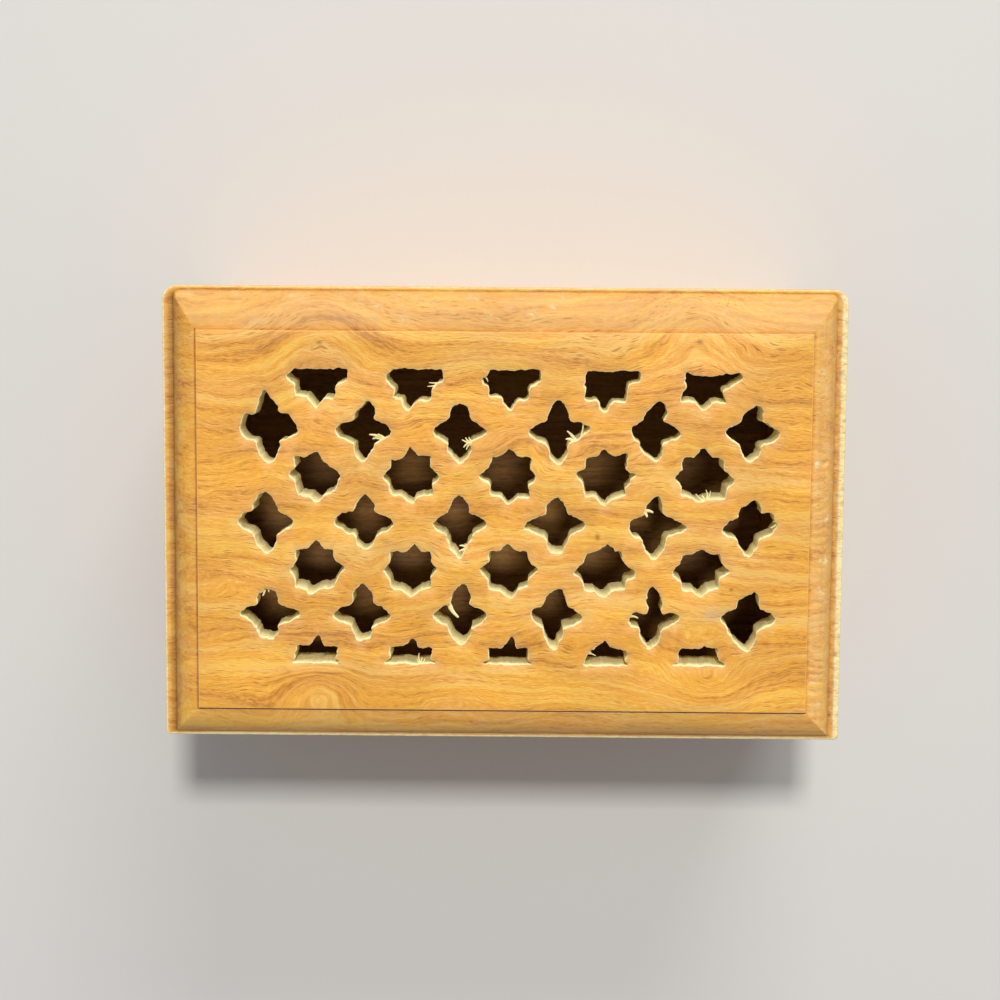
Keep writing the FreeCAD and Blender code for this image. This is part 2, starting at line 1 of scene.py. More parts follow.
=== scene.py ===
# %% [markdown]
# # A trinket box with a pierced lid
#
# The box is a keepsake box of honey-coloured hardwood. Its lid is one thick board with a moulded
# edge and a raised panel, and the panel is sawn through by hand into a lattice of flowers and
# stars. The frame brings in the measured solids. This lesson dresses them: the lid gets the
# softened, slightly uneven edges of hand work, and every piece gets a material built from nodes.

# %% Load the frame
import math

import bpy
from mathutils import Matrix, Vector, kdtree, noise
from mathutils.geometry import delaunay_2d_cdt


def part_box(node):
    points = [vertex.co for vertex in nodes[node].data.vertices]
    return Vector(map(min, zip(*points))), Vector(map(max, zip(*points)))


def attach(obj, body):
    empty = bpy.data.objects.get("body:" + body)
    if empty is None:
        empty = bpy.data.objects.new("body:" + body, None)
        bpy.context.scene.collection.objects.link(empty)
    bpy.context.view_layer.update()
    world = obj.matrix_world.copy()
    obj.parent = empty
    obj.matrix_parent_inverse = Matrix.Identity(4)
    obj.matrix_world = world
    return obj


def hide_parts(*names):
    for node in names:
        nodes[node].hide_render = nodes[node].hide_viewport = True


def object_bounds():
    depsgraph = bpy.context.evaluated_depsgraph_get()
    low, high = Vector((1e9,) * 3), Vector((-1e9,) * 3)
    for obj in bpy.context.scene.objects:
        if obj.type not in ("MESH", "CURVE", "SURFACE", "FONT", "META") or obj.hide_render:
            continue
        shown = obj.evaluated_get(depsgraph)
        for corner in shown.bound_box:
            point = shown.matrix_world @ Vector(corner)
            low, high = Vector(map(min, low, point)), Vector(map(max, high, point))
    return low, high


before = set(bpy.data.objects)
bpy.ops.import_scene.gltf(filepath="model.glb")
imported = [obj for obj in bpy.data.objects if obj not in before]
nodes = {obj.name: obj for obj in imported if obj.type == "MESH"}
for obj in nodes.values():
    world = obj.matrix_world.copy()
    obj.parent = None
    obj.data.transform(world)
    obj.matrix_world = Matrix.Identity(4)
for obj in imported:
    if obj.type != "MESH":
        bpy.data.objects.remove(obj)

MM = 0.001
cad_low, cad_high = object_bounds()
scene = bpy.context.scene
print("frame:", len(nodes), "pieces,", [round((b - a) / MM, 1) for a, b in zip(cad_low, cad_high)], "mm")

# %% [markdown]
# ## Camera and light
#
# The camera looks almost straight down on the lid, from a little behind it, so the front walls of
# the holes show. A long lens keeps the lid nearly rectangular. Two lamps stand behind the box. A
# small high one sends light through the holes, where it makes soft patches on the floor of the box.
# A big low one lights the sawn walls that face it and rakes over the moulding. A pale world fills
# the shadows. The three levels add up to about one, so that colours come out as they are written.

# %% Camera
CAMERA_PLACE = Vector((2.85, 63.6, 553.0)) * MM
CAMERA_PITCH, CAMERA_YAW, CAMERA_ROLL = 0.12112, -0.00735, -0.00732
SENSOR = 36.0
FOCAL_PIXELS, PICTURE_PIXELS = 2224, 1000

camera_data = bpy.data.cameras.new("camera")
camera_data.sensor_width = SENSOR
camera_data.lens = SENSOR * FOCAL_PIXELS / PICTURE_PIXELS
camera_data.clip_start = 0.01
camera = bpy.data.objects.new("camera", camera_data)
scene.collection.objects.link(camera)
turn = (Matrix.Rotation(-CAMERA_YAW, 4, "Y") @ Matrix.Rotation(-CAMERA_PITCH, 4, "X")
        @ Matrix.Rotation(-CAMERA_ROLL, 4, "Z"))
camera.matrix_world = Matrix.Translation(CAMERA_PLACE) @ turn
scene.camera = camera
print("camera: lens", round(camera_data.lens, 1), "mm at", [round(c, 3) for c in CAMERA_PLACE])

# %% Lamps, world and view
def soft_lamp(name, toward, distance, width, level, colour):
    """A square area lamp; its level is the brightness that it gives a level white card."""
    toward = Vector(toward).normalized()
    data = bpy.data.lights.new(name, "AREA")
    data.size = width
    data.energy = level * (math.pi * distance) ** 2 / toward.z
    data.color = colour
    lamp = bpy.data.objects.new(name, data)
    lamp.location = Vector((0, 0, cad_high.z)) + toward * distance
    lamp.rotation_euler = toward.to_track_quat("Z", "Y").to_euler()
    scene.collection.objects.link(lamp)
    print(name, round(data.energy, 1), "W")


soft_lamp("window_lamp", toward=(0.04, 0.42, 0.91), distance=2.2, width=0.24, level=0.52,
          colour=(1.0, 0.97, 0.92))
soft_lamp("sky_lamp", toward=(0.20, 0.90, 0.39), distance=2.4, width=1.2, level=0.20,
          colour=(1.0, 0.98, 0.95))

WORLD_COLOUR, WORLD_LEVEL = (0.96, 0.97, 1.0, 1), 0.31
world = bpy.data.worlds.new("studio")
world.use_nodes = True
background = world.node_tree.nodes["Background"].inputs
background["Color"].default_value = WORLD_COLOUR
background["Strength"].default_value = WORLD_LEVEL
scene.world = world
scene.view_settings.view_transform = "Standard"
print("world: level", WORLD_LEVEL)

# %% [markdown]
# ## Small helpers for nodes
#
# A material is a graph. A few helpers keep the graphs readable: one adds a node and fills or links
# its inputs, and others add a Math node, a colour Mix node or a stretched noise. Two more start a
# node group and place it, which is how an effect is written once and then used in several materials.

# %% Nodes and links
def feed(tree, socket, value):
    """Links a socket to another node's output, or sets it to a constant."""
    if isinstance(value, bpy.types.NodeSocket):
        tree.links.new(value, socket)
    else:
        socket.default_value = value


def add(tree, kind, inputs=None, **settings):
    """A new node; an input is a number, a colour or another node's output."""
    item = tree.nodes.new(kind)
    for name, value in settings.items():
        setattr(item, name, value)
    for name, value in (inputs or {}).items():
        feed(tree, item.inputs[name], value)
    return item


def calc(tree, operation, *values, clamp=False):
    """The result of a Math node."""
    inputs = dict(enumerate(values))
    return add(tree, "ShaderNodeMath", inputs, operation=operation, use_clamp=clamp).outputs[0]


def vector(tree, operation, first, second):
    """The result of a Vector Math node."""
    return add(tree, "ShaderNodeVectorMath", {0: first, 1: second}, operation=operation).outputs[0]


def mixed(tree, factor, first, second, blend="MIX"):
    """A colour Mix node, whose colour sockets are numbers 6 and 7."""
    item = add(tree, "ShaderNodeMix", {0: factor, 6: first, 7: second}, data_type="RGBA", blend_type=blend)
    return item.outputs[2]


print("node helpers:", [helper.__name__ for helper in (feed, add, calc, vector, mixed)])

# %% Textures and sums
def ramp(tree, value, low, high, to_low=0.0, to_high=1.0):
    """A smooth step from low to high."""
    item = add(tree, "ShaderNodeMapRange", {
        "Value": value, "From Min": low, "From Max": high, "To Min": to_low, "To Max": to_high,
    }, interpolation_type="SMOOTHSTEP")
    return item.outputs["Result"]


def cloud(tree, place, fineness, detail=2.0, roughness=0.5):
    """Noise from 0 to 1; the fineness along X, Y and Z stretches it."""
    item = add(tree, "ShaderNodeTexNoise", {
        "Vector": vector(tree, "MULTIPLY", place, fineness),
        "Scale": 1.0, "Detail": detail, "Roughness": roughness})
    return item.outputs["Fac"]


def weighted(tree, *pairs):
    """The sum of values times weights."""
    total = None
    for value, weight in pairs:
        part = calc(tree, "MULTIPLY", value, weight)
        total = part if total is None else calc(tree, "ADD", total, part)
    return total


def bumped(tree, height, strength, depth):
    """A normal from a height; the depth is in metres."""
    item = add(tree, "ShaderNodeBump", {"Height": height, "Strength": strength, "Distance": depth})
    return item.outputs["Normal"]


print("texture helpers:", [helper.__name__ for helper in (ramp, cloud, weighted, bumped)])

# %% Groups and materials
def new_group(name, inputs, outputs):
    """An empty shader group with named inputs and outputs."""
    tree = bpy.data.node_groups.new(name, "ShaderNodeTree")
    for label, kind, value in inputs:
        socket = tree.interface.new_socket(label, in_out="INPUT", socket_type="NodeSocket" + kind)
        if value is not None:
            socket.default_value = value
    for label, kind in outputs:
        tree.interface.new_socket(label, in_out="OUTPUT", socket_type="NodeSocket" + kind)
    return tree, tree.nodes.new("NodeGroupInput").outputs, tree.nodes.new("NodeGroupOutput").inputs


def place_group(tree, group, inputs):
    """The outputs of a group that is placed in a material."""
    return add(tree, "ShaderNodeGroup", inputs, node_tree=group).outputs


def new_material(name):
    """A material with a Principled shader; returns it, its tree and the shader's inputs."""
    material = bpy.data.materials.new(name)
    material.use_nodes = True
    return material, material.node_tree, material.node_tree.nodes["Principled BSDF"].inputs


def millimetres(tree):
    """The object's own coordinates, in millimetres."""
    spot = add(tree, "ShaderNodeTexCoord").outputs["Object"]
    return vector(tree, "MULTIPLY", spot, (1 / MM, 1 / MM, 1 / MM))


def dress(item, material):
    """Gives an item one material."""
    item.data.materials.clear()
    item.data.materials.append(material)


print("material helpers:", [helper.__name__ for helper in (new_group, place_group, new_material, dress)])

# %% [markdown]
# ## The timber groups
#
# Real timber is a stack of growth layers, cut through. So the grain here is a solid texture: noise
# stretched a long way along the board and little across it. Where the board's long faces cut the
# texture it shows streaks, and where its ends cut it, it shows the speckle of end grain, with no
# extra work. The first group gives a soft round hill, which bends the grain near a knot and can also
# serve as a spot. The second makes the timber from layers, streaks, short flecks and pores.

# %% A soft hill round a point
hill, inside, out = new_group("soft_hill", [
    ("Place", "Vector", None), ("Middle", "Vector", None),
    ("Reach", "Float", 12.0), ("Spread", "Float", 14.0), ("Height", "Float", 1.0),
], [("Height", "Float")])
offset = vector(hill, "SUBTRACT", inside["Place"], inside["Middle"])
apart = add(hill, "ShaderNodeSeparateXYZ", {0: offset}).outputs
along = calc(hill, "DIVIDE", apart["X"], inside["Reach"])
across = calc(hill, "DIVIDE", apart["Y"], inside["Spread"])
square = calc(hill, "ADD", calc(hill, "MULTIPLY", along, along), calc(hill, "MULTIPLY", across, across))
fall = calc(hill, "EXPONENT", calc(hill, "MULTIPLY", square, -1.0))
feed(hill, out["Height"], calc(hill, "MULTIPLY", fall, inside["Height"]))
print("group:", hill.name, len(hill.nodes), "nodes")

# %% The grain of the timber
timber, inside, out = new_group("timber", [
    ("Place", "Vector", None), ("Push", "Float", 0.0),
    ("Pale", "Color", (0.97, 0.56, 0.086, 1)), ("Honey", "Color", (0.90, 0.415, 0.043, 1)),
    ("Dark", "Color", (0.55, 0.21, 0.020, 1)), ("Pore", "Color", (0.38, 0.14, 0.018, 1)),
    ("Polish", "Float", 0.38), ("Curl", "Float", 5.0),
], [("Colour", "Color"), ("Roughness", "Float"), ("Height", "Float")])
WANDER = 11.0
wander = calc(timber, "SUBTRACT", cloud(timber, inside["Place"], (0.022, 0.05, 0.05)), 0.5)
curl = calc(timber, "SUBTRACT", cloud(timber, inside["Place"], (0.075, 0.10, 0.10)), 0.5)
bend = calc(timber, "ADD", weighted(timber, (wander, WANDER), (curl, inside["Curl"])), inside["Push"])
sideways = add(timber, "ShaderNodeCombineXYZ", {"Y": bend}).outputs[0]
grain = vector(timber, "SUBTRACT", inside["Place"], sideways)
layers = cloud(timber, grain, (0.012, 0.24, 0.24), 3.0, 0.55)
streaks = cloud(timber, grain, (0.05, 0.95, 0.95), 4.0, 0.6)
flecks = cloud(timber, grain, (0.62, 2.6, 2.6), 3.0, 0.6)
tone = weighted(timber, (layers, 0.33), (streaks, 0.38), (flecks, 0.29))
dash = add(timber, "ShaderNodeTexVoronoi", {
    "Vector": vector(timber, "MULTIPLY", grain, (0.22, 2.2, 2.2)), "Scale": 1.0}, feature="F1")
patch = ramp(timber, cloud(timber, grain, (0.03, 0.25, 0.25)), 0.42, 0.62)
pores = calc(timber, "MULTIPLY", ramp(timber, dash.outputs["Distance"], 0.32, 0.12), patch)
print("grain:", len(timber.nodes), "nodes so far")

# %% The colour and polish of the timber
PORE_SHARE, BLUSH = 0.54, (0.97, 0.98, 1.55, 1)
colour = mixed(timber, ramp(timber, tone, 0.355, 0.49), inside["Dark"], inside["Honey"])
colour = mixed(timber, ramp(timber, tone, 0.485, 0.575), colour, inside["Pale"])
colour = mixed(timber, calc(timber, "MULTIPLY", pores, PORE_SHARE), colour, inside["Pore"])
blush = ramp(timber, cloud(timber, grain, (0.035, 0.16, 0.16), 3.0, 0.6), 0.42, 0.62)
colour = mixed(timber, blush, colour, BLUSH, "MULTIPLY")
mottle = cloud(timber, inside["Place"], (0.05, 0.075, 0.075))
shade = ramp(timber, mottle, 0.30, 0.70, 0.92, 1.06)
grey = add(timber, "ShaderNodeCombineXYZ", {"X": shade, "Y": shade, "Z": shade}).outputs[0]
feed(timber, out["Colour"], mixed(timber, 1.0, colour, grey, "MULTIPLY"))
rough = calc(timber, "ADD", inside["Polish"], weighted(timber, (pores, 0.22), (flecks, 0.12)))
feed(timber, out["Roughness"], rough)
feed(timber, out["Height"], calc(timber, "SUBTRACT", calc(timber, "MULTIPLY", flecks, 0.6), pores))
print("group:", timber.name, len(timber.nodes), "nodes")

# %% [markdown]
# ## Reading the lattice from the frame
#
# The lid is rebuilt as a finer mesh, because a saw and a plane leave softened edges that a solid
# with sharp corners can't show. The holes must stay where they are in the frame, so their outlines
# are read from it: the flat faces at the lid's top have one outer outline, and one outline more for
# each hole.

# %% Outlines at the top of the lid
FLAT, ROW_STEP = 0.005, 5


def with_next(loop):
    """Each item of a closed loop with the one after it."""
    items = list(loop)
    return list(zip(items, items[1:] + items[:1]))


def outlines_at(mesh, height):
    """Closed outlines of the level faces at a height, in millimetres, the longest first."""
    steps = set()
    for face in mesh.polygons:
        corners = [mesh.vertices[index].co / MM for index in face.vertices]
        if max(abs(corner.z - height) for corner in corners) < FLAT:
            steps.update(with_next([(round(corner.x, 3), round(corner.y, 3)) for corner in corners]))
    following = {a: b for a, b in steps if (b, a) not in steps}
    loops = []
    while following:
        loop, here = [], min(following)
        while here in following:
            loop.append(Vector(here))
            here = following.pop(here)
        loops.append(loop)
    return sorted(loops, key=lambda loop: -sum((a - b).length for a, b in with_next(loop)))


def extent(points):
    """The low and high corners of the box round flat points."""
    low = Vector((min(p.x for p in points), min(p.y for p in points)))
    return low, Vector((max(p.x for p in points), max(p.y for p in points)))


def area(loop):
    """The area inside a loop, below zero if the loop runs clockwise."""
    return sum(a.x * b.y - a.y * b.x for a, b in with_next(loop)) / 2


def row_then_place(loop):
    """Puts the holes in order, row by row."""
    return round(sum(p.y for p in loop) / len(loop) / ROW_STEP), sum(p.x for p in loop)


lid_low, lid_high = (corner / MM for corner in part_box("lid_board"))
panel_outline, *hole_outlines = outlines_at(nodes["lid_board"].data, lid_high.z)
hole_outlines = [loop if area(loop) > 0 else loop[::-1] for loop in hole_outlines]
hole_outlines.sort(key=row_then_place)
panel_low, panel_high = extent(panel_outline)
print("lid:", len(hole_outlines), "holes; panel", [round(c, 1) for c in (*panel_low, *panel_high)])

# %% [markdown]
# ## Hand work on an outline
#
# A fretsaw wanders a little, breaks out fibres and never leaves a mathematically sharp corner. Each
# outline is therefore divided into short steps, eased at its corners and pushed to and fro by
# noise. Noise from a place in space, and not from a random draw, gives the same lid on each run. In
# some places the saw went well off its line. A pull gives such a place, x and y, then the shift along
# x and along y, and the reach, all in millimetres. The shift fades away round the place.

# %% Outline tools
def divided(loop, step):
    """The outline with points about one step apart."""
    points = []
    for a, b in with_next(loop):
        count = max(1, round((b - a).length / step))
        points += [a.lerp(b, index / count) for index in range(count)]
    return points


def eased(loop, times, share):
    """Each point moves a share of the way to the middle of its neighbours."""
    for _ in range(times):
        before, after = loop[-1:] + loop[:-1], loop[1:] + loop[:1]
        loop = [p.lerp((a + b) / 2, share) for a, p, b in zip(before, loop, after)]
    return loop


def outward(loop):
    """Unit normals that point out of a counter-clockwise loop."""
    before, after = loop[-1:] + loop[:-1], loop[1:] + loop[:1]
    sides = [(b - a).normalized() for a, b in zip(before, after)]
    return [Vector((side.y, -side.x)) for side in sides]


def pushed(loop, distances):
    """Each point moved outward by its own distance."""
    return [p + n * d for p, n, d in zip(loop, outward(loop), distances)]


def wave(point, fineness, seed, z=0.0):
    """Smooth noise from -1 to 1 at a place on the lid."""
    return noise.noise(Vector((point.x * fineness + seed, point.y * fineness - seed, z + 0.37 * seed)))


print("outline tools:", [tool.__name__ for tool in (divided, eased, outward, pushed, wave)])

# %% Where the saw left its line
PULLS = (
    # the half-stars at the back
    (-27.3, 32.4, 1.9, 0, 2.0), (-25.4, 27.5, 1.4, 0, 1.5), (-5.6, 31.6, 1.2, 0, 1.5),
    (15.8, 31.2, 1.9, 0, 2.0), (29.3, 32.0, 0.9, 0, 1.3), (37.4, 30.9, 2.5, 0, 2.4),
    (45.5, 32.6, 0, -1.1, 5.0), (51.2, 31.6, 3.0, 0, 1.0), (47.8, 26.2, 1.3, -0.3, 1.3),
    # the back row of flowers
    (-52.7, 26.9, -0.4, 1.4, 2.2), (-59.0, 19.6, 1.4, 1.2, 2.2), (-56.0, 21.8, -0.6, 2.0, 2.0),
    (-48.6, 21.8, 0.5, 1.4, 2.2), (-31.0, 25.5, 1.3, -0.4, 3.0), (-10.3, 26.3, 0, -1.0, 1.3),
    (17.9, 19.0, 0.5, 1.2, 2.5), (33.2, 25.5, 1.5, -0.3, 3.0), (26.6, 19.0, 1.5, 0, 2.0),
    (32.5, 12.5, 1.0, 0.5, 2.5), (54.7, 26.0, 1.2, -1.1, 2.2),
    # the front row of flowers
    (-52.9, -15.3, -0.6, -1.4, 2.2), (-46.2, -22.3, 1.2, 0.4, 1.6), (-52.9, -29.6, 0.4, 1.8, 2.2),
    (-31.4, -29.8, -0.3, 1.5, 3.2), (11.6, -15.4, 0.9, -0.9, 2.2), (5.4, -22.2, 1.2, 0, 1.6),
    (11.2, -29.2, 0.8, -0.8, 1.6), (26.7, -22.0, 1.6, -1.3, 2.2), (31.2, -19.6, 1.5, -1.8, 2.1),
    (35.6, -19.5, -0.2, -1.6, 1.8), (54.9, -15.8, 1.2, -1.0, 2.2), (52.4, -25.2, -1.2, -1.5, 1.9),
    # the half-stars at the front
    (1.3, -27.3, 0.9, 0.5, 1.6), (17.2, -29.0, 1.8, -1.0, 2.0), (26.4, -30.6, 1.3, 0, 1.6),
    (21.8, -26.7, 0.9, -0.9, 1.5), (16.0, -32.8, 2.0, 0, 2.0), (43.8, -27.2, 1.0, -1.3, 1.6),
    # the back row of stars
    (-41.4, 15.5, 0, -0.7, 3.0), (-37.4, 14.0, -1.6, -2.0, 2.3), (-35.4, 9.1, -1.0, 0, 1.5),
    (-36.8, 5.0, -0.6, 0.8, 1.5), (-24.0, 13.4, 0, -0.9, 2.4), (-16.5, 5.3, 1.2, -0.5, 1.5),
    (26.8, 13.6, 0.7, 0.8, 1.4), (29.0, 8.9, 0.4, 0.9, 1.4), (26.2, 4.9, 1.2, 0.4, 1.4),
    (49.0, 8.0, 1.5, -0.3, 3.0), (43.1, 2.6, 0, 1.3, 1.6), (47.9, 4.3, 0.7, 0.3, 1.6),
    # the middle row of flowers
    (-54.2, 4.0, -0.8, 0.2, 1.6), (-57.0, 1.0, -1.2, 0.4, 1.7), (-36.3, 0.4, -0.5, 1.1, 1.7),
    (-30.9, -8.2, 0, 1.0, 1.6), (-10.1, -8.3, 0.5, -1.1, 1.8), (11.6, 4.4, 0.6, 0, 2.0),
    (5.2, -1.4, -0.9, -0.6, 1.7), (11.9, -8.7, 0, 0.9, 1.4), (33.5, 4.5, 0.9, 0.5, 2.2),
    (26.7, -1.9, 1.0, 0, 1.7), (39.5, -1.5, 1.4, 0, 1.8), (54.2, 4.6, 1.7, -0.5, 3.0),
    (59.0, 0.5, 0.6, 1.6, 2.2),
    # the front row of stars
    (-41.6, -18.0, -1.2, 0.9, 1.7), (-20.7, -6.0, 1.0, -0.7, 3.0), (22.0, -6.0, 1.4, -0.4, 3.2),
    (28.3, -12.1, 1.2, -0.6, 1.9), (44.0, -5.0, 0.5, -1.0, 5.0),
)


def pulled(point):
    """The point where the saw really went."""
    for x, y, along_x, along_y, reach in PULLS:
        near = math.exp(-((point - Vector((x, y))).length / reach) ** 2)
        point = point + near * Vector((along_x, along_y))
    return point


print("pulls:", len(PULLS))

# %% The outlines as sawn
SAW_STEP, CORNER_EASE, LAST_EASE = 0.40, 0.35, 0.12
FLOWER_CORNERS, FLOWER_ROUNDS, STAR_ROUNDS = 30, 6, 2
SLOW_STRAY, QUICK_STRAY = 0.40, 0.27


def sawn(loop, index):
    """A hole's outline as the saw cut it; a flower has more corners than a star, and softer ones."""
    rounds = FLOWER_ROUNDS if len(loop) > FLOWER_CORNERS else STAR_ROUNDS
    loop = divided([pulled(p) for p in divided(loop, SAW_STEP)], SAW_STEP)
    loop = eased(loop, rounds, CORNER_EASE)
    stray = [SLOW_STRAY * wave(p, 0.50, seed=index) + QUICK_STRAY * wave(p, 1.5, seed=index + 40)
             for p in loop]
    return eased(pushed(loop, stray), 1, LAST_EASE)


sawn_outlines = [sawn(loop, index) for index, loop in enumerate(hole_outlines)]
print("outlines:", sum(map(len, sawn_outlines)), "points, step", SAW_STEP, "mm")

# %% [markdown]
# ## The lid as one mesh
#
# The mesh is a set of rings. From the panel's edge, rings run outward over the moulding, round the rim
# and back under the lid. From each hole's edge, rings run over a worn arris and down the sawn
# wall. Two flat faces with holes close it, above and below: a constrained Delaunay triangulation
# fills a face whose outline and holes are given. Two numbers are kept at each point for the
# material: how raw the wood is there, where the finish has worn or was never put on, and how dark
# it is painted there, from real stain and from painted shade in the quirk and along the moulding.

# %% A mesh that grows ring by ring
TRIANGLES_INSIDE, SAME_POINT = 1, 1e-6


def within(point, loop):
    """True if a point lies inside a closed outline."""
    inside_it = False
    for a, b in with_next(loop):
        if (a.y > point.y) != (b.y > point.y):
            if point.x < a.x + (b.x - a.x) * (point.y - a.y) / (b.y - a.y):
                inside_it = not inside_it
    return inside_it


class Shell:
    """Points with their raw and stain-and-shade numbers, and the faces between them."""

    def __init__(self):
        self.points, self.raw, self.stain, self.faces = [], [], [], []

    def ring(self, places, raw, stain):
        """Adds a closed ring of 3-D places; raw and stain-and-shade (stain and painted shade) are numbers or
        one number per place.
        """
        first, count = len(self.points), len(places)
        self.points += places
        self.raw += raw if isinstance(raw, list) else [raw] * count
        self.stain += stain if isinstance(stain, list) else [stain] * count
        return range(first, first + count)

    def flat(self, ring):
        """A ring's points, seen from above."""
        return [Vector(self.points[index][:2]) for index in ring]

    def bridge(self, inner, outer):
        """Joins two rings of as many points by a band of faces."""
        for (a, d), (b, c) in zip(with_next(inner), with_next(outer)):
            self.faces.append((a, b, c, d))

    def fill(self, border, holes, filler, height, up, raw):
        """A face between a border ring and hole rings, with filler points inside it."""
        used = [index for ring in (border, *holes) for index in ring]
        owner = {index: number for number, ring in enumerate(holes) for index in ring}
        place = {index: number for number, index in enumerate(used)}
        edges = [(place[a], place[b]) for ring in (border, *holes) for a, b in with_next(ring)]
        extra = self.ring([Vector((p.x, p.y, height(p))) for p in filler], raw, 0.0)
        known = used + list(extra)
        spots, _, triangles, origins, _, _ = delaunay_2d_cdt(
            self.flat(used) + filler, edges, [], TRIANGLES_INSIDE, SAME_POINT)
        names = [known[origin[0]] if origin else None for origin in origins]
        walls = [self.flat(ring) for ring in holes]
        for triangle in triangles:
            corners = [names[index] for index in triangle]
            if None in corners:
                continue
            # a triangle on one hole's ring, and inside that ring, would cover the hole
            homes = {owner.get(index) for index in corners}
            middle = sum((spots[index] for index in triangle), Vector((0, 0))) / 3
            if len(homes) == 1 and None not in homes and within(middle, walls[homes.pop()]):
                continue
            a, b, c = (spots[index] for index in triangle)
            if ((b - a).cross(c - a) > 0) != up:
                corners.reverse()
            self.faces.append(tuple(corners))


lid = Shell()
print("shell:", len(lid.points), "points to begin with")

# %% [markdown]
# The moulding's section is a rim, a convex curve and a small upright step, the quirk. A ring is a
# rectangle with rounded corners, drawn in from the lid's edge by a different amount on each edge,
# because the moulding is widest at the back and the rim is widest at the two ends. A ring keeps one
# height all the way round, so at the corners the four runs meet in mitres.

# %% The moulding's measures
RIM_HEIGHT, QUIRK, EASE = 5.0, 0.9, 0.8
FRONT_ROUND, BACK_ROUND, SHARP_ROUND, CORNER_STEPS = 1.0, 3.2, 0.12, 8
ORDER = ("front", "right", "back", "left")
STEPS = {"front": 210, "right": 320, "back": 230, "left": 170}
rim = {"front": 0.9, "right": 2.4, "back": 0.9, "left": 2.4}
mould = {"front": panel_low.y - lid_low.y, "right": lid_high.x - panel_high.x,
         "back": lid_high.y - panel_high.y, "left": panel_low.x - lid_low.x}
thickness = lid_high.z - lid_low.z
rise = thickness - QUIRK - RIM_HEIGHT
print("moulding widths:", {edge: round(width, 1) for edge, width in mould.items()})

# %% Places on the moulding
def frame_ring(draw):
    """A rectangle drawn in by an amount on each edge: its points, and the edge that each lies on."""
    left, right = lid_low.x + draw["left"], lid_high.x - draw["right"]
    front, back = lid_low.y + draw["front"], lid_high.y - draw["back"]
    corners = [(right, front, FRONT_ROUND, -90), (right, back, BACK_ROUND, 0),
               (left, back, BACK_ROUND, 90), (left, front, FRONT_ROUND, 180)]
    arcs = []
    for x, y, radius, first in corners:
        radius = max(SHARP_ROUND, radius - sum(draw.values()) / 4)
        middle = Vector((x - math.copysign(radius, x), y - math.copysign(radius, y)))
        angles = [math.radians(first + 90 * step / (CORNER_STEPS - 1)) for step in range(CORNER_STEPS)]
        arcs.append([middle + radius * Vector((math.cos(a), math.sin(a))) for a in angles])
    points, edges, half = [], [], CORNER_STEPS // 2
    for index, edge in enumerate(ORDER):
        start, end, count = arcs[index - 1][-1], arcs[index][0], STEPS[edge]
        points += [start.lerp(end, step / count) for step in range(1, count)] + arcs[index]
        edges += [edge] * (count - 1 + half) + [ORDER[(index + 1) % 4]] * half
    return points, edges


def curve_inset(edge, height):
    """How far in from the lid's edge the convex curve is at a height above the rim."""
    run = mould[edge] - rim[edge]
    radius = (run * run + rise * rise) / (2 * rise)
    return mould[edge] - math.sqrt(max(0.0, radius ** 2 - (radius - rise + height) ** 2))


def lid_place(point, z):
    """A place at a height above the lid's underside, never above its top."""
    return Vector((point.x, point.y, lid_low.z + min(z, thickness)))


print("foot of the curve:", {edge: round(curve_inset(edge, 0.0), 2) for edge in ORDER}, "mm in from the edge")

# %% [markdown]
# Use has left its marks along these rings. The finish is worn off the rim, furthest at the right-hand
# end, and there are two long chips at the front. The right-hand moulding has chatter marks from a
# dull cutter, the back one is scuffed, and stain lies in the quirk where a cloth couldn't reach.
# Painted shade darkens the quirk, the rim's valley and the foot of the curve, most on the front and
# left edges, which face away from the lamps, and darkens the back curve a little. A painted sheen
# pales the back and right-hand mouldings along with their dust and scuffs.

# %% How worn and how shaded each edge is
RIM_RAW = {"front": 0.85, "right": 0.82, "back": 0.7, "left": 0.85}
RIM_REACH = {"front": 0.9, "right": 2.3, "back": 0.5, "left": 1.0}
# painted shade: the rim's stain is strongest on the left and front edges, which face away from the lamps, and
# is partly real stain in the valley
RIM_STAIN_AND_SHADE = {"front": 1.2, "right": 0.8, "back": 0.9, "left": 1.7}
# painted shade: the quirk's stain is strongest at the front and left, which face away from the lamps; the
# rest is real stain in the corner
QUIRK_STAIN_AND_SHADE = {"front": 1.0, "right": 0.28, "back": 0.42, "left": 0.62}
# painted shade: the foot of the curve is darkened most on the left and front, which face away from the lamps
FOOT_SHADE = {"front": 0.36, "right": 0.24, "back": 0.06, "left": 0.56}
# painted shade: each edge's curve is darkened by its own amount, most at the back, to hold down the light of
# the lamps behind the box
CURVE_SHADE = {"front": 0.05, "right": 0.03, "back": 0.17, "left": 0.06}
# painted sheen: together with the real dust and scuffs, the paler colour is strongest on the back and right,
# which face the lamps
SCUFF_AND_SHEEN = {"front": 0.30, "right": 0.40, "back": 0.50, "left": 0.12}
DUST_AND_SHEEN = {"front": 0.16, "right": 0.34, "back": 0.26, "left": 0.08}
FRONT_CHIPS, CHIP_RAW = ((-60.0, 13.0), (60.0, 13.0)), 0.4
PIT, PIT_WIDTH, PIT_DEPTH = Vector((71.2, 12.6)), 0.55, 0.45
CHATTER_PITCH, CHATTER_DEPTH, CHATTER_FROM, CHATTER_TO = 2.1, 0.17, 0.55, 0.999
NICK_DEPTH, STREAK_STAIN, SHALLOW_QUIRKS, QUIRK_FILL = 0.20, 0.7, ("right", "back"), 0.8
MARK_FINENESS, MARK_DEPTH, MARK_STAIN, CHATTER_RAW, FOOT_SHARE = 6.1, 0.04, 0.16, 0.5, 0.75
SWAY, RIPPLE, LEVEL_BELOW, LEVEL_ABOVE = 0.05, 0.03, 0.5, 0.3
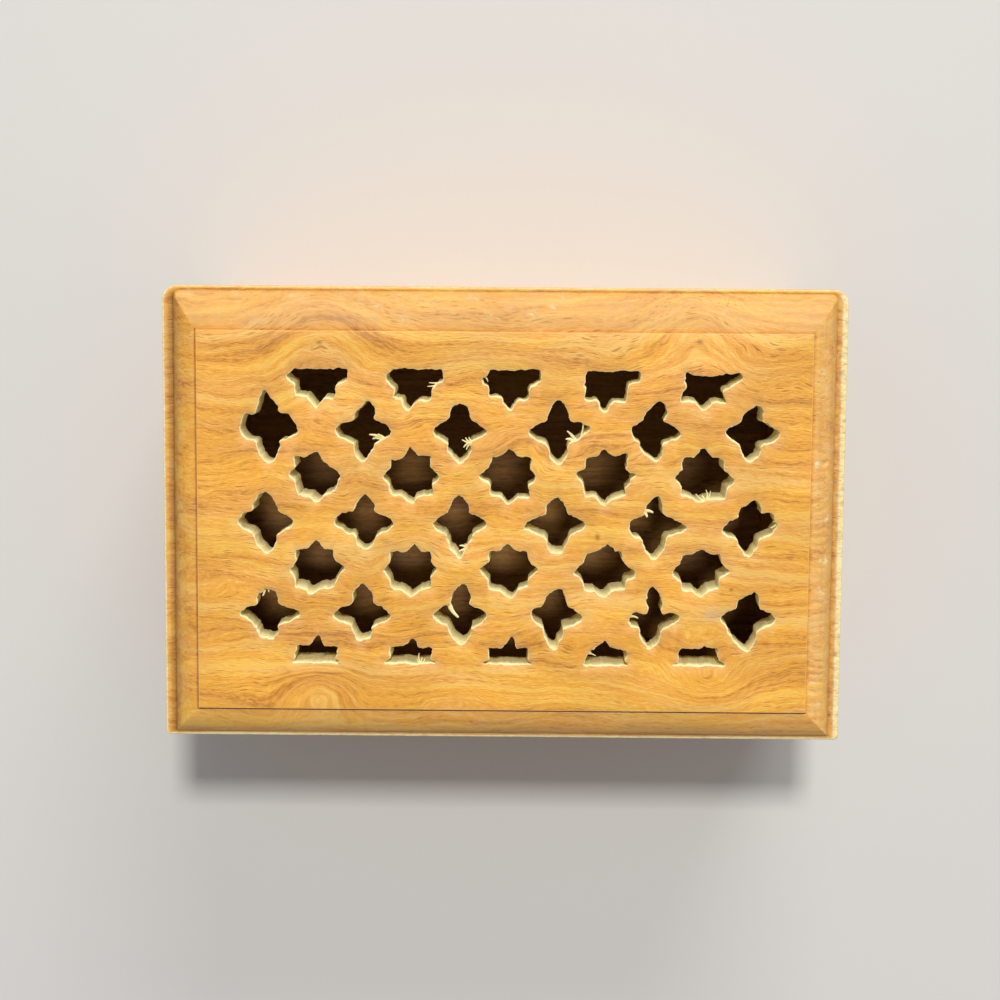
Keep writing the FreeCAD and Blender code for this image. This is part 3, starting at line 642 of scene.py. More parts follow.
print("rim wear:", sorted(RIM_REACH, key=RIM_REACH.get, reverse=True), "from furthest to least far in")

# %% Wear and painted shade on each part of the moulding
def chip(point):
    """From 0 to 1 along the two places where the front rim is chipped."""
    return max(max(0.0, 1 - ((point.x - middle) / half) ** 2) for middle, half in FRONT_CHIPS)


def chatter(point, height):
    """Marks that a dull cutter left across the right-hand moulding, near the panel, most at the front."""
    share = height / rise
    if not CHATTER_FROM < share < CHATTER_TO:
        return 0.0
    turn_at = point.y / CHATTER_PITCH + 0.9 * wave(point, 0.16, seed=7)
    tooth = max(0.0, math.sin(2 * math.pi * turn_at) + 0.7 * wave(point, 0.9, seed=11))
    patch = max(0.0, 0.55 - 0.008 * point.y + 0.8 * wave(point, 0.10, seed=3))
    return CHATTER_DEPTH * tooth * min(1.0, 6 * (share - CHATTER_FROM)) * patch


def rim_wear_and_shade(point, edge, inset, raw, stain, wear):
    """How far down the rim is worn, how raw it is, and how dark it is painted with stain and painted shade.
    """
    # worn through as far in as half the reach, and less from there on
    cover = 2 - 2 * inset / (RIM_REACH[edge] * (0.8 + 0.4 * wear))
    chipped = CHIP_RAW * chip(point) if edge == "front" else 0.0
    bare = raw * ((RIM_RAW[edge] + chipped) * max(0.0, min(1.0, cover)))
    dark = stain * RIM_STAIN_AND_SHADE[edge]
    if edge == "right":
        dark += STREAK_STAIN * max(0.0, wave(point, 1.1, seed=17) - 0.12)
    return NICK_DEPTH * max(0.0, wave(point, 0.9, seed=21)) * raw, bare, dark


def quirk_wear_and_shade(z, edge, raw, stain, wear):
    """The same for the quirk, whose foot is filled up on two edges; its stain is partly painted shade."""
    low = min(0.0, QUIRK_FILL * (z - thickness + QUIRK)) if edge in SHALLOW_QUIRKS else 0.0
    return low, raw, stain * (QUIRK_STAIN_AND_SHADE[edge] * (0.75 + 0.3 * wear))


def curve_wear_and_shade(point, edge, height, raw, stain, wear):
    """The same for the convex curve, with the marks of the plane along it, painted shade at its foot and a
    painted sheen with its dust and scuffs.
    """
    foot = max(0.0, 1 - height / (FOOT_SHARE * rise))
    # painted shade: darker at the foot of the curve and on some edges, by how the lamps fall on them
    dark = stain + (CURVE_SHADE[edge] + FOOT_SHADE[edge] * foot * (0.7 + 0.4 * wear))
    scuffed = max(0.0, wave(point, 0.45, seed=31) + 0.5 * wave(point, 1.3, seed=33))
    # dust and scuffs, partly a painted sheen on the sides that face the lamps
    bare = raw + (DUST_AND_SHEEN[edge] + SCUFF_AND_SHEEN[edge] * scuffed)
    mark = noise.noise(Vector((MARK_FINENESS * height, 0.03 * point.x, 0.03 * point.y)))
    low = MARK_DEPTH * mark
    dark += MARK_STAIN * max(0.0, mark)
    if edge == "right":
        low += chatter(point, height)
        bare += CHATTER_RAW * low
    return low, bare, dark


print("wear of", [part.__name__ for part in (rim_wear_and_shade, quirk_wear_and_shade, curve_wear_and_shade)])

# %% A worn and shaded ring
def worn_and_shaded_ring(draw, z, zone, raw, stain):
    """Adds a ring of the moulding, with the wear and the painted shade that its zone has on each edge."""
    places, raws, stains = [], [], []
    sways = LEVEL_BELOW < z < thickness - LEVEL_ABOVE
    for point, edge in zip(*frame_ring(draw)):
        wear = 0.5 + 0.5 * wave(point, 0.35, seed=13)
        low, bare, dark = 0.0, raw, stain
        if zone == "rim":
            low, bare, dark = rim_wear_and_shade(point, edge, draw[edge], raw, stain, wear)
        elif zone == "quirk":
            low, bare, dark = quirk_wear_and_shade(z, edge, raw, stain, wear)
        elif zone == "curve":
            low, bare, dark = curve_wear_and_shade(point, edge, z - RIM_HEIGHT, raw, stain, wear)
        low += PIT_DEPTH * math.exp(-((point - PIT).length / PIT_WIDTH) ** 2)
        sway = SWAY * wave(point, 0.07, seed=5) + RIPPLE * wave(point, 0.6, seed=9)
        places.append(lid_place(point, z - low + sway * sways))
        raws.append(bare)
        stains.append(min(1.0, dark))
    return lid.ring(places, raws, stains)


print("pit:", PIT_DEPTH, "mm deep at", tuple(round(c, 1) for c in PIT))

# %% The moulding's rings
CURVE_STEPS, CURVE_START, CURVE_SPACING = 18, 2, rise + 4.0
# in from the panel's edge, down from the top, zone, raw, stain and painted shade
QUIRK_RINGS = (
    (0.34, 0.0, "panel", 0.05, 0.0), (0.10, 0.06, "panel", 0.55, 0.0), (0.0, 0.26, "quirk", 0.30, 0.25),
    (-0.03, QUIRK + 0.08, "quirk", 0.0, 0.95), (-0.22, QUIRK + 0.20, "quirk", 0.0, 0.95),
    (-0.50, QUIRK + 0.04, "quirk", 0.05, 0.30))
# share of the rim's width in from the edge, up from the rim, raw, stain and painted shade
RIM_RINGS = ((1.0, -0.05, 0.3, 0.45), (0.84, 0.0, 0.8, 0.34), (0.62, 0.02, 1.0, 0.22), (0.46, 0.0, 1.0, 0.06))
# in from the edge, up from the rim or the underside, raw
ARRIS_RINGS = ((0.30, -0.03, 1.0), (0.13, -0.12, 1.0), (0.02, -0.38, 1.0), (0.0, -0.95, 0.5))
SIDE_RINGS = ((0.0, 3.0, 0.0), (0.0, 1.7, 0.0), (0.0, EASE + 0.15, 0.25), (0.10, 0.45, 0.6),
              (0.35, 0.14, 0.6), (EASE, 0.0, 0.5))


def level(amount):
    """The same amount on every edge."""
    return {edge: amount for edge in mould}


rings = []
for extra, depth, zone, raw, stain in QUIRK_RINGS:
    insets = {edge: width + extra for edge, width in mould.items()}
    rings.append(worn_and_shaded_ring(insets, thickness - depth, zone, raw, stain))
steepness = math.acos(1 - rise / CURVE_SPACING)
for step in range(CURVE_START, CURVE_STEPS):
    height = rise - CURVE_SPACING * (1 - math.cos(steepness * step / CURVE_STEPS))
    insets = {edge: curve_inset(edge, height) for edge in mould}
    rings.append(worn_and_shaded_ring(insets, RIM_HEIGHT + height, "curve", 0.0, 0.0))
for share, z, raw, stain in RIM_RINGS:
    insets = {edge: share * width for edge, width in rim.items()}
    rings.append(worn_and_shaded_ring(insets, RIM_HEIGHT + z, "rim", raw, stain))
rings += [worn_and_shaded_ring(level(amount), RIM_HEIGHT + z, "rim", raw, 0.0) for amount, z, raw in ARRIS_RINGS]
rings += [worn_and_shaded_ring(level(amount), z, "side", raw, 0.0) for amount, z, raw in SIDE_RINGS]
for inner, outer in zip(rings, rings[1:]):
    lid.bridge(inner, outer)
print("moulding:", len(rings), "rings of", len(rings[0]), "points")

# %% [markdown]
# Each hole starts with an arris that is worn by a different amount from place to place, and most at
# its front and left. The saw leaned a little, so the wall isn't quite upright, and it left faint
# ridges. Where the blade came out underneath, it broke the edge away too.

# %% A ring that doesn't cross itself
FOLD_TRIES, FOLD_SHRINK, FOLD_EASE = 12, 0.6, 0.25


def simple_ring(loop, widths):
    """The loop pushed outward, with less push where it would cross itself."""
    widths, count = list(widths), len(loop)
    for _ in range(FOLD_TRIES):
        ring = eased(pushed(loop, widths), 1, FOLD_EASE)
        steps = zip(with_next(ring), with_next(loop))
        folded = [i for i, ((a, b), (c, d)) in enumerate(steps) if (b - a).dot(d - c) <= 0]
        if not folded:
            return ring
        for i in folded:
            for near in range(i - 3, i + 5):
                widths[near % count] *= FOLD_SHRINK
    return ring


print("rings are tried", FOLD_TRIES, "times at most")

# %% The holes' rings
WALL_RINGS, WALL_MARGIN = 8, 0.25
ARRIS, FRONT_WEAR, LEFT_WEAR = 0.09, 0.32, 0.18
LEAN, RIDGE, ROLL, ROLL_GROWTH = 0.30, 0.05, 0.08, 0.20
BREAK_LEAST, BREAK_MORE, BREAK_HEIGHT = 0.12, 0.30, 0.30
ROUND_DROP, EDGE_DROP = 0.22, 0.75
OUTER_RAW, ROUND_RAW, EDGE_RAW, WALL_RAW, LOW_RAW = 0.22, 1.0, 1.1, 1.0, 0.35


def arris_wear(point, normal, index):
    """How wide the worn arris is at a point of a hole's edge."""
    side = FRONT_WEAR * max(0.0, -normal.y) + LEFT_WEAR * max(0.0, -normal.x)
    torn_off = 0.9 * max(-0.3, wave(point, 1.5, seed=index + 3))
    return (ARRIS + side) * (1 + 0.7 * wave(point, 0.45, seed=index + 80) + torn_off)


def ridges(loop, index, z, depth):
    """How far the saw's ridges and its roll push the wall out or in at a height."""
    roll = ROLL + ROLL_GROWTH * depth
    return [RIDGE * wave(p, 2.6, index, 0.10 * z) + roll * wave(p, 0.7, index + 9, 0.2 * z) for p in loop]


def hole_rings(loop, index):
    """The rings of one hole, from the lid's top to its underside."""
    worn = [arris_wear(p, normal, index) for p, normal in zip(loop, outward(loop))]
    outer = simple_ring(loop, worn)
    middle = [a.lerp(b, 0.5) for a, b in zip(loop, outer)]
    lean = LEAN * Vector((math.sin(2.1 * index), math.cos(1.7 * index)))
    rounded = [lid_place(p, thickness - ROUND_DROP * w) for p, w in zip(middle, worn)]
    edge = [lid_place(p, thickness - EDGE_DROP * w) for p, w in zip(loop, worn)]
    chain = [lid.ring([lid_place(p, thickness) for p in outer], OUTER_RAW, 0.0),
             lid.ring(rounded, ROUND_RAW, 0.0), lid.ring(edge, EDGE_RAW, 0.0)]
    for step in range(1, WALL_RINGS):
        z = (thickness - 2 * WALL_MARGIN) * (1 - step / WALL_RINGS) + WALL_MARGIN
        depth = 1 - z / thickness
        wall = pushed(loop, ridges(loop, index, z, depth))
        chain.append(lid.ring([lid_place(p + lean * depth, z) for p in wall], WALL_RAW, 0.0))
    low_loop = [p + lean for p in loop]
    broken = [BREAK_LEAST + BREAK_MORE * max(0, wave(p, 0.9, seed=index + 61)) for p in loop]
    chain.append(lid.ring([lid_place(p, BREAK_HEIGHT) for p in low_loop], WALL_RAW, 0.0))
    chain.append(lid.ring([lid_place(p, 0.0) for p in simple_ring(low_loop, broken)], LOW_RAW, 0.0))
    return chain


top_rings, bottom_rings = [], []
for index, loop in enumerate(sawn_outlines):
    chain = hole_rings(loop, index)
    for upper, lower in zip(chain, chain[1:]):
        lid.bridge(lower, upper)
    top_rings.append(chain[0])
    bottom_rings.append(chain[-1])
print("holes:", len(top_rings), "with", len(chain), "rings each")

# %% Top and underside faces
PANEL_GRID, PANEL_MARGIN, PANEL_UNEVEN = 2.4, 0.9, 0.05
UNDERSIDE_GRID, UNDERSIDE_MARGIN, UNDERSIDE_RAW = 4.0, 1.2, 0.30


def filler_points(step, rings, margin):
    """Points on a grid inside the panel's or lid's outline, clear of the holes."""
    loops = [lid.flat(ring) for ring in rings]
    spots = [spot for loop in loops for spot in loop]
    owner = [number for number, loop in enumerate(loops) for _ in loop]
    tree = kdtree.KDTree(len(spots))
    for index, spot in enumerate(spots):
        tree.insert(spot.to_3d(), index)
    tree.balance()
    low, high = extent(spots)
    columns, rows = int((high.x - low.x) / step), int((high.y - low.y) / step)
    points = []
    for row in range(1, rows):
        for column in range(1, columns):
            point = low + Vector(((column + 0.5 * (row % 2)) * step, row * step))
            _, nearest, gap = tree.find(point.to_3d())
            # loop 0 is the border, and the others are holes
            if gap < margin or (owner[nearest] and within(point, loops[owner[nearest]])):
                continue
            points.append(point)
    return points


def panel_height(point):
    """The panel was scraped by hand and isn't quite flat."""
    return lid_high.z - PANEL_UNEVEN + PANEL_UNEVEN * wave(point, 0.06, seed=2)


lid.fill(rings[0], top_rings, filler_points(PANEL_GRID, [rings[0], *top_rings], PANEL_MARGIN),
         panel_height, True, 0.0)
lid.fill(rings[-1], bottom_rings, filler_points(UNDERSIDE_GRID, [rings[-1], *bottom_rings], UNDERSIDE_MARGIN),
         lambda point: lid_low.z, False, UNDERSIDE_RAW)
print("lid:", len(lid.points), "points,", len(lid.faces), "faces")

# %% [markdown]
# The hinge leaves lie in shallow recesses in the underside, and the barrel has a round notch behind
# them. A Boolean modifier cuts them with plain cutters, the way a chisel and a gouge would. The
# modifier's result becomes the mesh, and the cutters are thrown away.

# %% Plain meshes
def mesh_object(name, points, faces, numbers=None):
    """A new object from millimetre points, with named numbers at its points."""
    mesh = bpy.data.meshes.new(name)
    mesh.from_pydata([tuple(c * MM for c in p) for p in points], [], faces)
    for label, values in (numbers or {}).items():
        mesh.attributes.new(label, "FLOAT", "POINT").data.foreach_set("value", values)
    mesh.validate()
    item = bpy.data.objects.new(name, mesh)
    scene.collection.objects.link(item)
    return item


def block_mesh(low, high):
    """The corners and faces of a box."""
    corners = [(x, y, z) for x in (low[0], high[0]) for y in (low[1], high[1]) for z in (low[2], high[2])]
    faces = [(0, 1, 3, 2), (4, 6, 7, 5), (0, 4, 5, 1), (2, 3, 7, 6), (0, 2, 6, 4), (1, 5, 7, 3)]
    return corners, faces


def tube_faces(rows, sides):
    """The faces of a tube of several rows of points, closed at both ends."""
    faces = [tuple(range(sides))[::-1], tuple(range((rows - 1) * sides, rows * sides))]
    for row in range(rows - 1):
        for side in range(sides):
            a, b = row * sides + side, row * sides + (side + 1) % sides
            faces.append((a, b, b + sides, a + sides))
    return faces


def turned_mesh(outline, sides, place, axis):
    """A solid of revolution through (radius, distance) points along an axis, closed at both ends."""
    frame_of = Vector(axis).to_track_quat("Z", "Y").to_matrix()
    points = []
    for radius, distance in outline:
        for side in range(sides):
            angle = 2 * math.pi * side / sides
            spot = Vector((radius * math.cos(angle), radius * math.sin(angle), distance))
            points.append(Vector(place) + frame_of @ spot)
    return points, tube_faces(len(outline), sides)


def joined(meshes):
    """Several point and face lists as one."""
    points, faces = [], []
    for more_points, more_faces in meshes:
        faces += [tuple(index + len(points) for index in face) for face in more_faces]
        points += more_points
    return points, faces


print("meshes:", [shape.__name__ for shape in (block_mesh, tube_faces, turned_mesh, joined)])

# %% Carving and shading
def carve(item, cutters):
    """Cuts every cutter out of the item, and throws the cutters away."""
    for cutter in cutters:
        chisel = item.modifiers.new(cutter.name, "BOOLEAN")
        chisel.operation, chisel.solver, chisel.object = "DIFFERENCE", "EXACT", cutter
    bpy.context.view_layer.update()
    carved = bpy.data.meshes.new_from_object(item.evaluated_get(bpy.context.evaluated_depsgraph_get()))
    item.modifiers.clear()
    item.data = carved
    for cutter in cutters:
        bpy.data.objects.remove(cutter)


def smoothed(item, degrees):
    """Shades an item smooth, apart from edges sharper than an angle."""
    item.data.shade_smooth()
    item.data.set_sharp_from_angle(angle=math.radians(degrees))


print("tools:", carve.__name__, smoothed.__name__)

# %% The lid object, with recesses for the hinges
LEAF_FIT, NOTCH_CLEARANCE, BARREL_SIDES, BELOW_LID = 0.05, 0.30, 40, 1
LID_CREASE = 38
carved_lid = mesh_object("carved_lid", lid.points, lid.faces, {"raw": lid.raw, "stain": lid.stain})
cutters = []
for side in ("left", "right"):
    leaf_low, leaf_high = (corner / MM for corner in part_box(f"{side}_hinge_lid_leaf"))
    pin_low, pin_high = (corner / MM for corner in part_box(f"{side}_hinge_pin"))
    axis = (pin_low + pin_high) / 2
    cutters.append(mesh_object(f"{side}_leaf_cutter", *block_mesh(
        (leaf_low.x - LEAF_FIT, leaf_low.y - LEAF_FIT, lid_low.z - BELOW_LID),
        (leaf_high.x + LEAF_FIT, axis.y, leaf_high.z))))
    barrel = leaf_high.y - axis.y + NOTCH_CLEARANCE
    cutters.append(mesh_object(f"{side}_barrel_cutter", *turned_mesh(
        [(barrel, 0), (barrel, pin_high.x - pin_low.x + 2 * NOTCH_CLEARANCE)], BARREL_SIDES,
        (pin_low.x - NOTCH_CLEARANCE, axis.y, axis.z), (1, 0, 0))))
carve(carved_lid, cutters)
smoothed(carved_lid, LID_CREASE)
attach(carved_lid, "lid")
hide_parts("lid_board")
print("carved lid:", len(carved_lid.data.vertices), "points,", len(carved_lid.data.polygons), "faces")

# %% [markdown]
# ## Splinters
#
# Sawing across the grain tears fibres loose, and some of them still hang in the holes, just below
# the top. A fibre is a short rod that starts inside the wood, bends a little and gets thinner toward
# its end. Each cluster below gives a place, the number of fibres, the way that they point, how far
# they fan out, their length and their width. The start is moved to the nearest sawn edge, so that
# no fibre hangs in the air. A strand is a fibre that spans a hole from one edge to another.

# %% Shape of a fibre
FIBRE_SIDES, FIBRE_STEPS, FIBRE_FLATNESS, ROOT_DEPTH = 6, 7, 0.55, 0.3
TAPER_POWER, LUMP, LUMP_FINENESS = 1.5, 0.25, 1.7
edge_points = [(point, normal) for loop in sawn_outlines for point, normal in zip(loop, outward(loop))]


def fibre(start, finish, width, bow, taper):
    """A tapered rod between two places; bow bends it sideways and taper thins its far end."""
    along = finish - start
    side = Vector((-along.y, along.x, 0)).normalized()
    points = []
    for step in range(FIBRE_STEPS + 1):
        share = step / FIBRE_STEPS
        middle = start.lerp(finish, share) + side * (bow * math.sin(math.pi * share))
        lump = 1 + LUMP * noise.noise(middle * LUMP_FINENESS)
        girth = width / 2 * (1 - taper * share ** TAPER_POWER) * lump
        for corner in range(FIBRE_SIDES):
            angle = 2 * math.pi * corner / FIBRE_SIDES
            lift = Vector((0, 0, FIBRE_FLATNESS * girth * math.sin(angle)))
            points.append(middle + side * (girth * math.cos(angle)) + lift)
    return points, tube_faces(FIBRE_STEPS + 1, FIBRE_SIDES)


def rooted(x, y):
    """The nearest place on a sawn edge, a little inside the wood."""
    point, normal = min(edge_points, key=lambda pair: (pair[0] - Vector((x, y))).length)
    return point + ROOT_DEPTH * normal


print("sawn edges:", len(edge_points), "places for a root")

# %% Fibres in the holes
CLUSTERS = (
    (-16.0, 31.0, 4, 205, 60, 2.0, 0.26), (-26.6, 16.9, 3, 160, 34, 2.5, 0.50),
    (-7.0, 16.6, 6, 176, 110, 1.9, 0.36), (15.6, 17.4, 2, 146, 30, 2.7, 0.52),
    (53.0, 22.2, 1, 215, 0, 2.2, 0.60), (44.7, 4.4, 4, 105, 70, 2.2, 0.28),
    (32.8, 0.8, 2, 335, 40, 1.7, 0.62), (-9.6, -6.0, 3, 160, 80, 1.7, 0.42),
    (-53.4, -15.6, 2, 285, 40, 1.8, 0.42), (-10.6, -20.6, 1, 305, 0, 3.0, 0.70),
    (29.6, -22.4, 2, 12, 30, 1.8, 0.45), (19.0, -9.2, 2, 190, 50, 1.5, 0.32),
    (28.4, -12.6, 2, 200, 40, 1.8, 0.30), (-18.4, -32.0, 4, 85, 70, 1.8, 0.28),
    (16.8, -30.0, 3, 20, 60, 1.8, 0.28), (-5.2, 31.4, 3, 290, 40, 2.0, 0.30),
    (-38.2, -8.0, 2, 30, 50, 1.4, 0.30), (61.6, -0.4, 2, 190, 50, 1.6, 0.34),
)
STRANDS = (((17.9, 21.9), (17.7, 16.6), 0.34),)
ROOT_SPREAD, ROOT_WIDTH, FIBRE_BOW, FIBRE_TAPER = 0.35, 1.5, 0.30, 0.62
ROOT_BELOW, TIP_BELOW, TIP_STEP, LENGTH_SPREAD = 1.1, 0.5, 0.35, 0.3
STRAND_BOW, STRAND_TAPER, STRAND_BELOW = 0.12, 0.1, (0.9, 1.2)
FIBRE_RAW, FIBRE_CREASE = 1.2, 60

fibres = []
for number, (x, y, count, heading, fan, length, width) in enumerate(CLUSTERS):
    for index in range(count):
        share = index / (count - 1) - 0.5 if count > 1 else 0.0
        angle = math.radians(heading + fan * share)
        reach = length * (1 + LENGTH_SPREAD * math.sin(5.1 * number + 2.3 * index))
        root = rooted(x - ROOT_SPREAD * share * math.sin(angle), y + ROOT_SPREAD * share * math.cos(angle))
        tip = root + reach * Vector((math.cos(angle), math.sin(angle)))
        start = lid_place(root, thickness - ROOT_BELOW - 0.2 * width)
        finish = lid_place(tip, thickness - TIP_BELOW - TIP_STEP * (index % 3))
        bow = FIBRE_BOW * math.sin(3.3 * number + index)
        fibres.append(fibre(start, finish, ROOT_WIDTH * width, bow, FIBRE_TAPER))
for first, second, width in STRANDS:
    start = lid_place(rooted(*first), thickness - STRAND_BELOW[0])
    finish = lid_place(rooted(*second), thickness - STRAND_BELOW[1])
    fibres.append(fibre(start, finish, width, STRAND_BOW, STRAND_TAPER))
points, faces = joined(fibres)
splinters = mesh_object("splinters", points, faces, {
    "raw": [FIBRE_RAW] * len(points), "stain": [0.0] * len(points)})
smoothed(splinters, FIBRE_CREASE)
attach(splinters, "lid")
print("splinters:", len(fibres), "fibres,", len(faces), "faces")

# %% [markdown]
# ## The lid's finish
#
# The lid is one board with its grain along X, wiped with a thin honey-coloured finish. The grain
# rises over two knots near the back edge, runs in loops round two more near the front and bends in
# two places between the holes, so six hills are summed to a push before the timber group. Five
# smaller hills are used as pin knots, and one as a grey smudge. Cream raw wood shows on the sawn
# walls and along worn edges, and a paler dust colour, partly a painted sheen, lies on the moulding. A
# dark red-brown colour lies in the quirk and along the moulding: real stain, and painted shade where
# the moulding faces away from the lamps. The splinters share the material: their points say that
# they are all raw.

# %% Grain and knots of the lid
lid_wood, tree, shader = new_material("lid_wood")
place = millimetres(tree)
flat_place = vector(tree, "MULTIPLY", place, (1.0, 1.0, 0.0))
# middle, reach, spread, height
KNOTS = (((-40.6, 42.0, 0), 12.0, 16.0, 8.5), ((43.0, 42.0, 0), 10.0, 15.0, 8.5),
         ((-41.0, -39.5, 0), 9.0, 9.0, 8.0), ((46.0, -37.0, 0), 11.0, 8.0, -7.0),
         ((4.0, 15.0, 0), 6.0, 7.0, 4.5), ((-21.0, -8.0, 0), 7.0, 6.0, 3.5))
# middle, reach, spread
PIN_KNOTS = (((21.0, -4.2, 0), 0.55, 0.8), ((50.9, -15.7, 0), 0.5, 0.4), ((-38.6, -35.4, 0), 3.6, 0.22),
             ((-40.8, 38.6, 0), 0.7, 0.4), ((42.9, 39.4, 0), 0.8, 0.6))
SMUDGE = ((47.0, -21.4, 0), 2.4, 1.6)
PIN_DEPTH, SMUDGE_DEPTH = 0.75, 0.4
PIN_COLOUR, SMUDGE_COLOUR = (0.30, 0.105, 0.016, 1), (0.55, 0.42, 0.30, 1)


def hill_at(middle, reach, spread, height):
    """The height of one hill in the lid's material."""
    return place_group(tree, hill, {
        "Place": flat_place, "Middle": middle, "Reach": reach, "Spread": spread, "Height": height})["Height"]


push = weighted(tree, *((hill_at(*knot), 1.0) for knot in KNOTS))
wood = place_group(tree, timber, {"Place": place, "Push": push})
pins = weighted(tree, *((hill_at(*pin, 1.0), PIN_DEPTH) for pin in PIN_KNOTS))
colour = mixed(tree, calc(tree, "MULTIPLY", pins, 1.0, clamp=True), wood["Colour"], PIN_COLOUR)
colour = mixed(tree, hill_at(*SMUDGE, SMUDGE_DEPTH), colour, SMUDGE_COLOUR)
print("knots:", len(KNOTS), "and", len(PIN_KNOTS), "pin knots")

# %% Raw wood, dust and painted sheen, stain and painted shade, and gloss of the lid
DUST_AND_SHEEN_COLOUR, STAIN_AND_SHADE_COLOUR = (0.90, 0.56, 0.24, 1), (0.10, 0.018, 0.004, 1)
DARK_CREAM, PALE_CREAM = (0.95, 0.73, 0.29, 1), (1.0, 0.92, 0.54, 1)
GRAIN_BUMP, GRAIN_DEPTH = 0.4, 0.0003
raw = add(tree, "ShaderNodeAttribute", attribute_name="raw").outputs["Fac"]
stain = add(tree, "ShaderNodeAttribute", attribute_name="stain").outputs["Fac"]
torn = cloud(tree, place, (1.2, 2.4, 0.9), 3.0, 0.6)
threads = cloud(tree, place, (0.8, 4.0, 4.0), 3.0, 0.6)
patchy = ramp(tree, torn, 0.25, 0.75, 0.6, 1.4)
# the dust colour, partly a painted sheen on the moulding
dust_and_sheen = calc(tree, "MULTIPLY", calc(tree, "MINIMUM", raw, 0.6), patchy, clamp=True)
colour = mixed(tree, dust_and_sheen, colour, DUST_AND_SHEEN_COLOUR)
raw_share = ramp(tree, weighted(tree, (raw, 1.0), (torn, 0.6)), 0.85, 1.20)
cream = mixed(tree, ramp(tree, threads, 0.32, 0.60), DARK_CREAM, PALE_CREAM)
colour = mixed(tree, raw_share, colour, cream)
# the stain colour: real stain, and painted shade in the quirk and along the moulding
stain_share = calc(tree, "MULTIPLY", stain, ramp(tree, torn, 0.2, 0.8, 0.75, 1.0), clamp=True)
feed(tree, shader["Base Color"], mixed(tree, stain_share, colour, STAIN_AND_SHADE_COLOUR))
bare_rough = weighted(tree, (raw_share, 0.25), (dust_and_sheen, 0.4))
feed(tree, shader["Roughness"], calc(tree, "ADD", wood["Roughness"], bare_rough, clamp=True))
height = weighted(tree, (wood["Height"], 1.0), (threads, 0.5))
feed(tree, shader["Normal"], bumped(tree, height, GRAIN_BUMP, GRAIN_DEPTH))
dress(carved_lid, lid_wood)
dress(splinters, lid_wood)
print("material:", lid_wood.name, len(tree.nodes), "nodes")

# %% [markdown]
# ## Walls and base
#
# The walls are plain boards of the same timber, with the finish outside and bare wood inside. The
# bare wood inside and the whole base are coloured a dark brown, which is painted shade of the closed
# box's inside. A board's grain runs along its length, so the side walls turn the texture by a right
# angle. Edges wear first: on a board's face, the second smallest of the three distances to its box
# is the distance to the nearest edge, and a group turns that into a mask. A Weld and a Bevel
# modifier round the edges themselves.

# %% Worn edges of a board
board_edge, inside, out = new_group("board_edge", [
    ("Place", "Vector", None), ("Low", "Vector", None), ("High", "Vector", None), ("Width", "Float", 0.8),
], [("Worn", "Float")])
FADE = 0.35
to_low = vector(board_edge, "SUBTRACT", inside["Place"], inside["Low"])
to_high = vector(board_edge, "SUBTRACT", inside["High"], inside["Place"])
gaps = add(board_edge, "ShaderNodeSeparateXYZ", {0: vector(board_edge, "MINIMUM", to_low, to_high)}).outputs
smaller = calc(board_edge, "MINIMUM", gaps["X"], gaps["Y"])
larger = calc(board_edge, "MAXIMUM", gaps["X"], gaps["Y"])
second = calc(board_edge, "MAXIMUM", smaller, calc(board_edge, "MINIMUM", larger, gaps["Z"]))
ragged = cloud(board_edge, inside["Place"], (0.5, 0.5, 0.5), 4.0, 0.65)
reach = calc(board_edge, "MULTIPLY", inside["Width"], ramp(board_edge, ragged, 0.35, 0.72))
beyond = ramp(board_edge, calc(board_edge, "SUBTRACT", second, reach), 0.0, FADE)
feed(board_edge, out["Worn"], calc(board_edge, "SUBTRACT", 1.0, beyond))
print("group:", board_edge.name, len(board_edge.nodes), "nodes")

# %% Board materials
# painted shade: the bare wood inside is coloured far darker than the lid's raw cream wood, for the shade
# inside the closed box
BARE_IN_PAINTED_SHADE = {"Pale": (0.44, 0.225, 0.050, 1), "Honey": (0.34, 0.155, 0.028, 1), "Dark": (0.19, 0.075, 0.011, 1),
        "Pore": (0.13, 0.055, 0.014, 1), "Polish": 0.6, "Curl": 1.5}
FINISHED = {"Pale": (0.80, 0.45, 0.085, 1), "Honey": (0.72, 0.33, 0.045, 1), "Dark": (0.45, 0.17, 0.020, 1),
            "Pore": (0.28, 0.10, 0.014, 1), "Curl": 1.5}
EDGE_COLOUR, EDGE_SHARE, INNER_SOFTNESS, BARE_ROUGH = (0.88, 0.62, 0.28, 1), 0.75, 4.0, 0.25
# the box's axis along, across and through each kind of board
GRAIN_ALONG_X, GRAIN_ALONG_Y, GRAIN_OF_BASE = ("X", "Z", "Y"), ("Y", "Z", "X"), ("X", "Y", "Z")


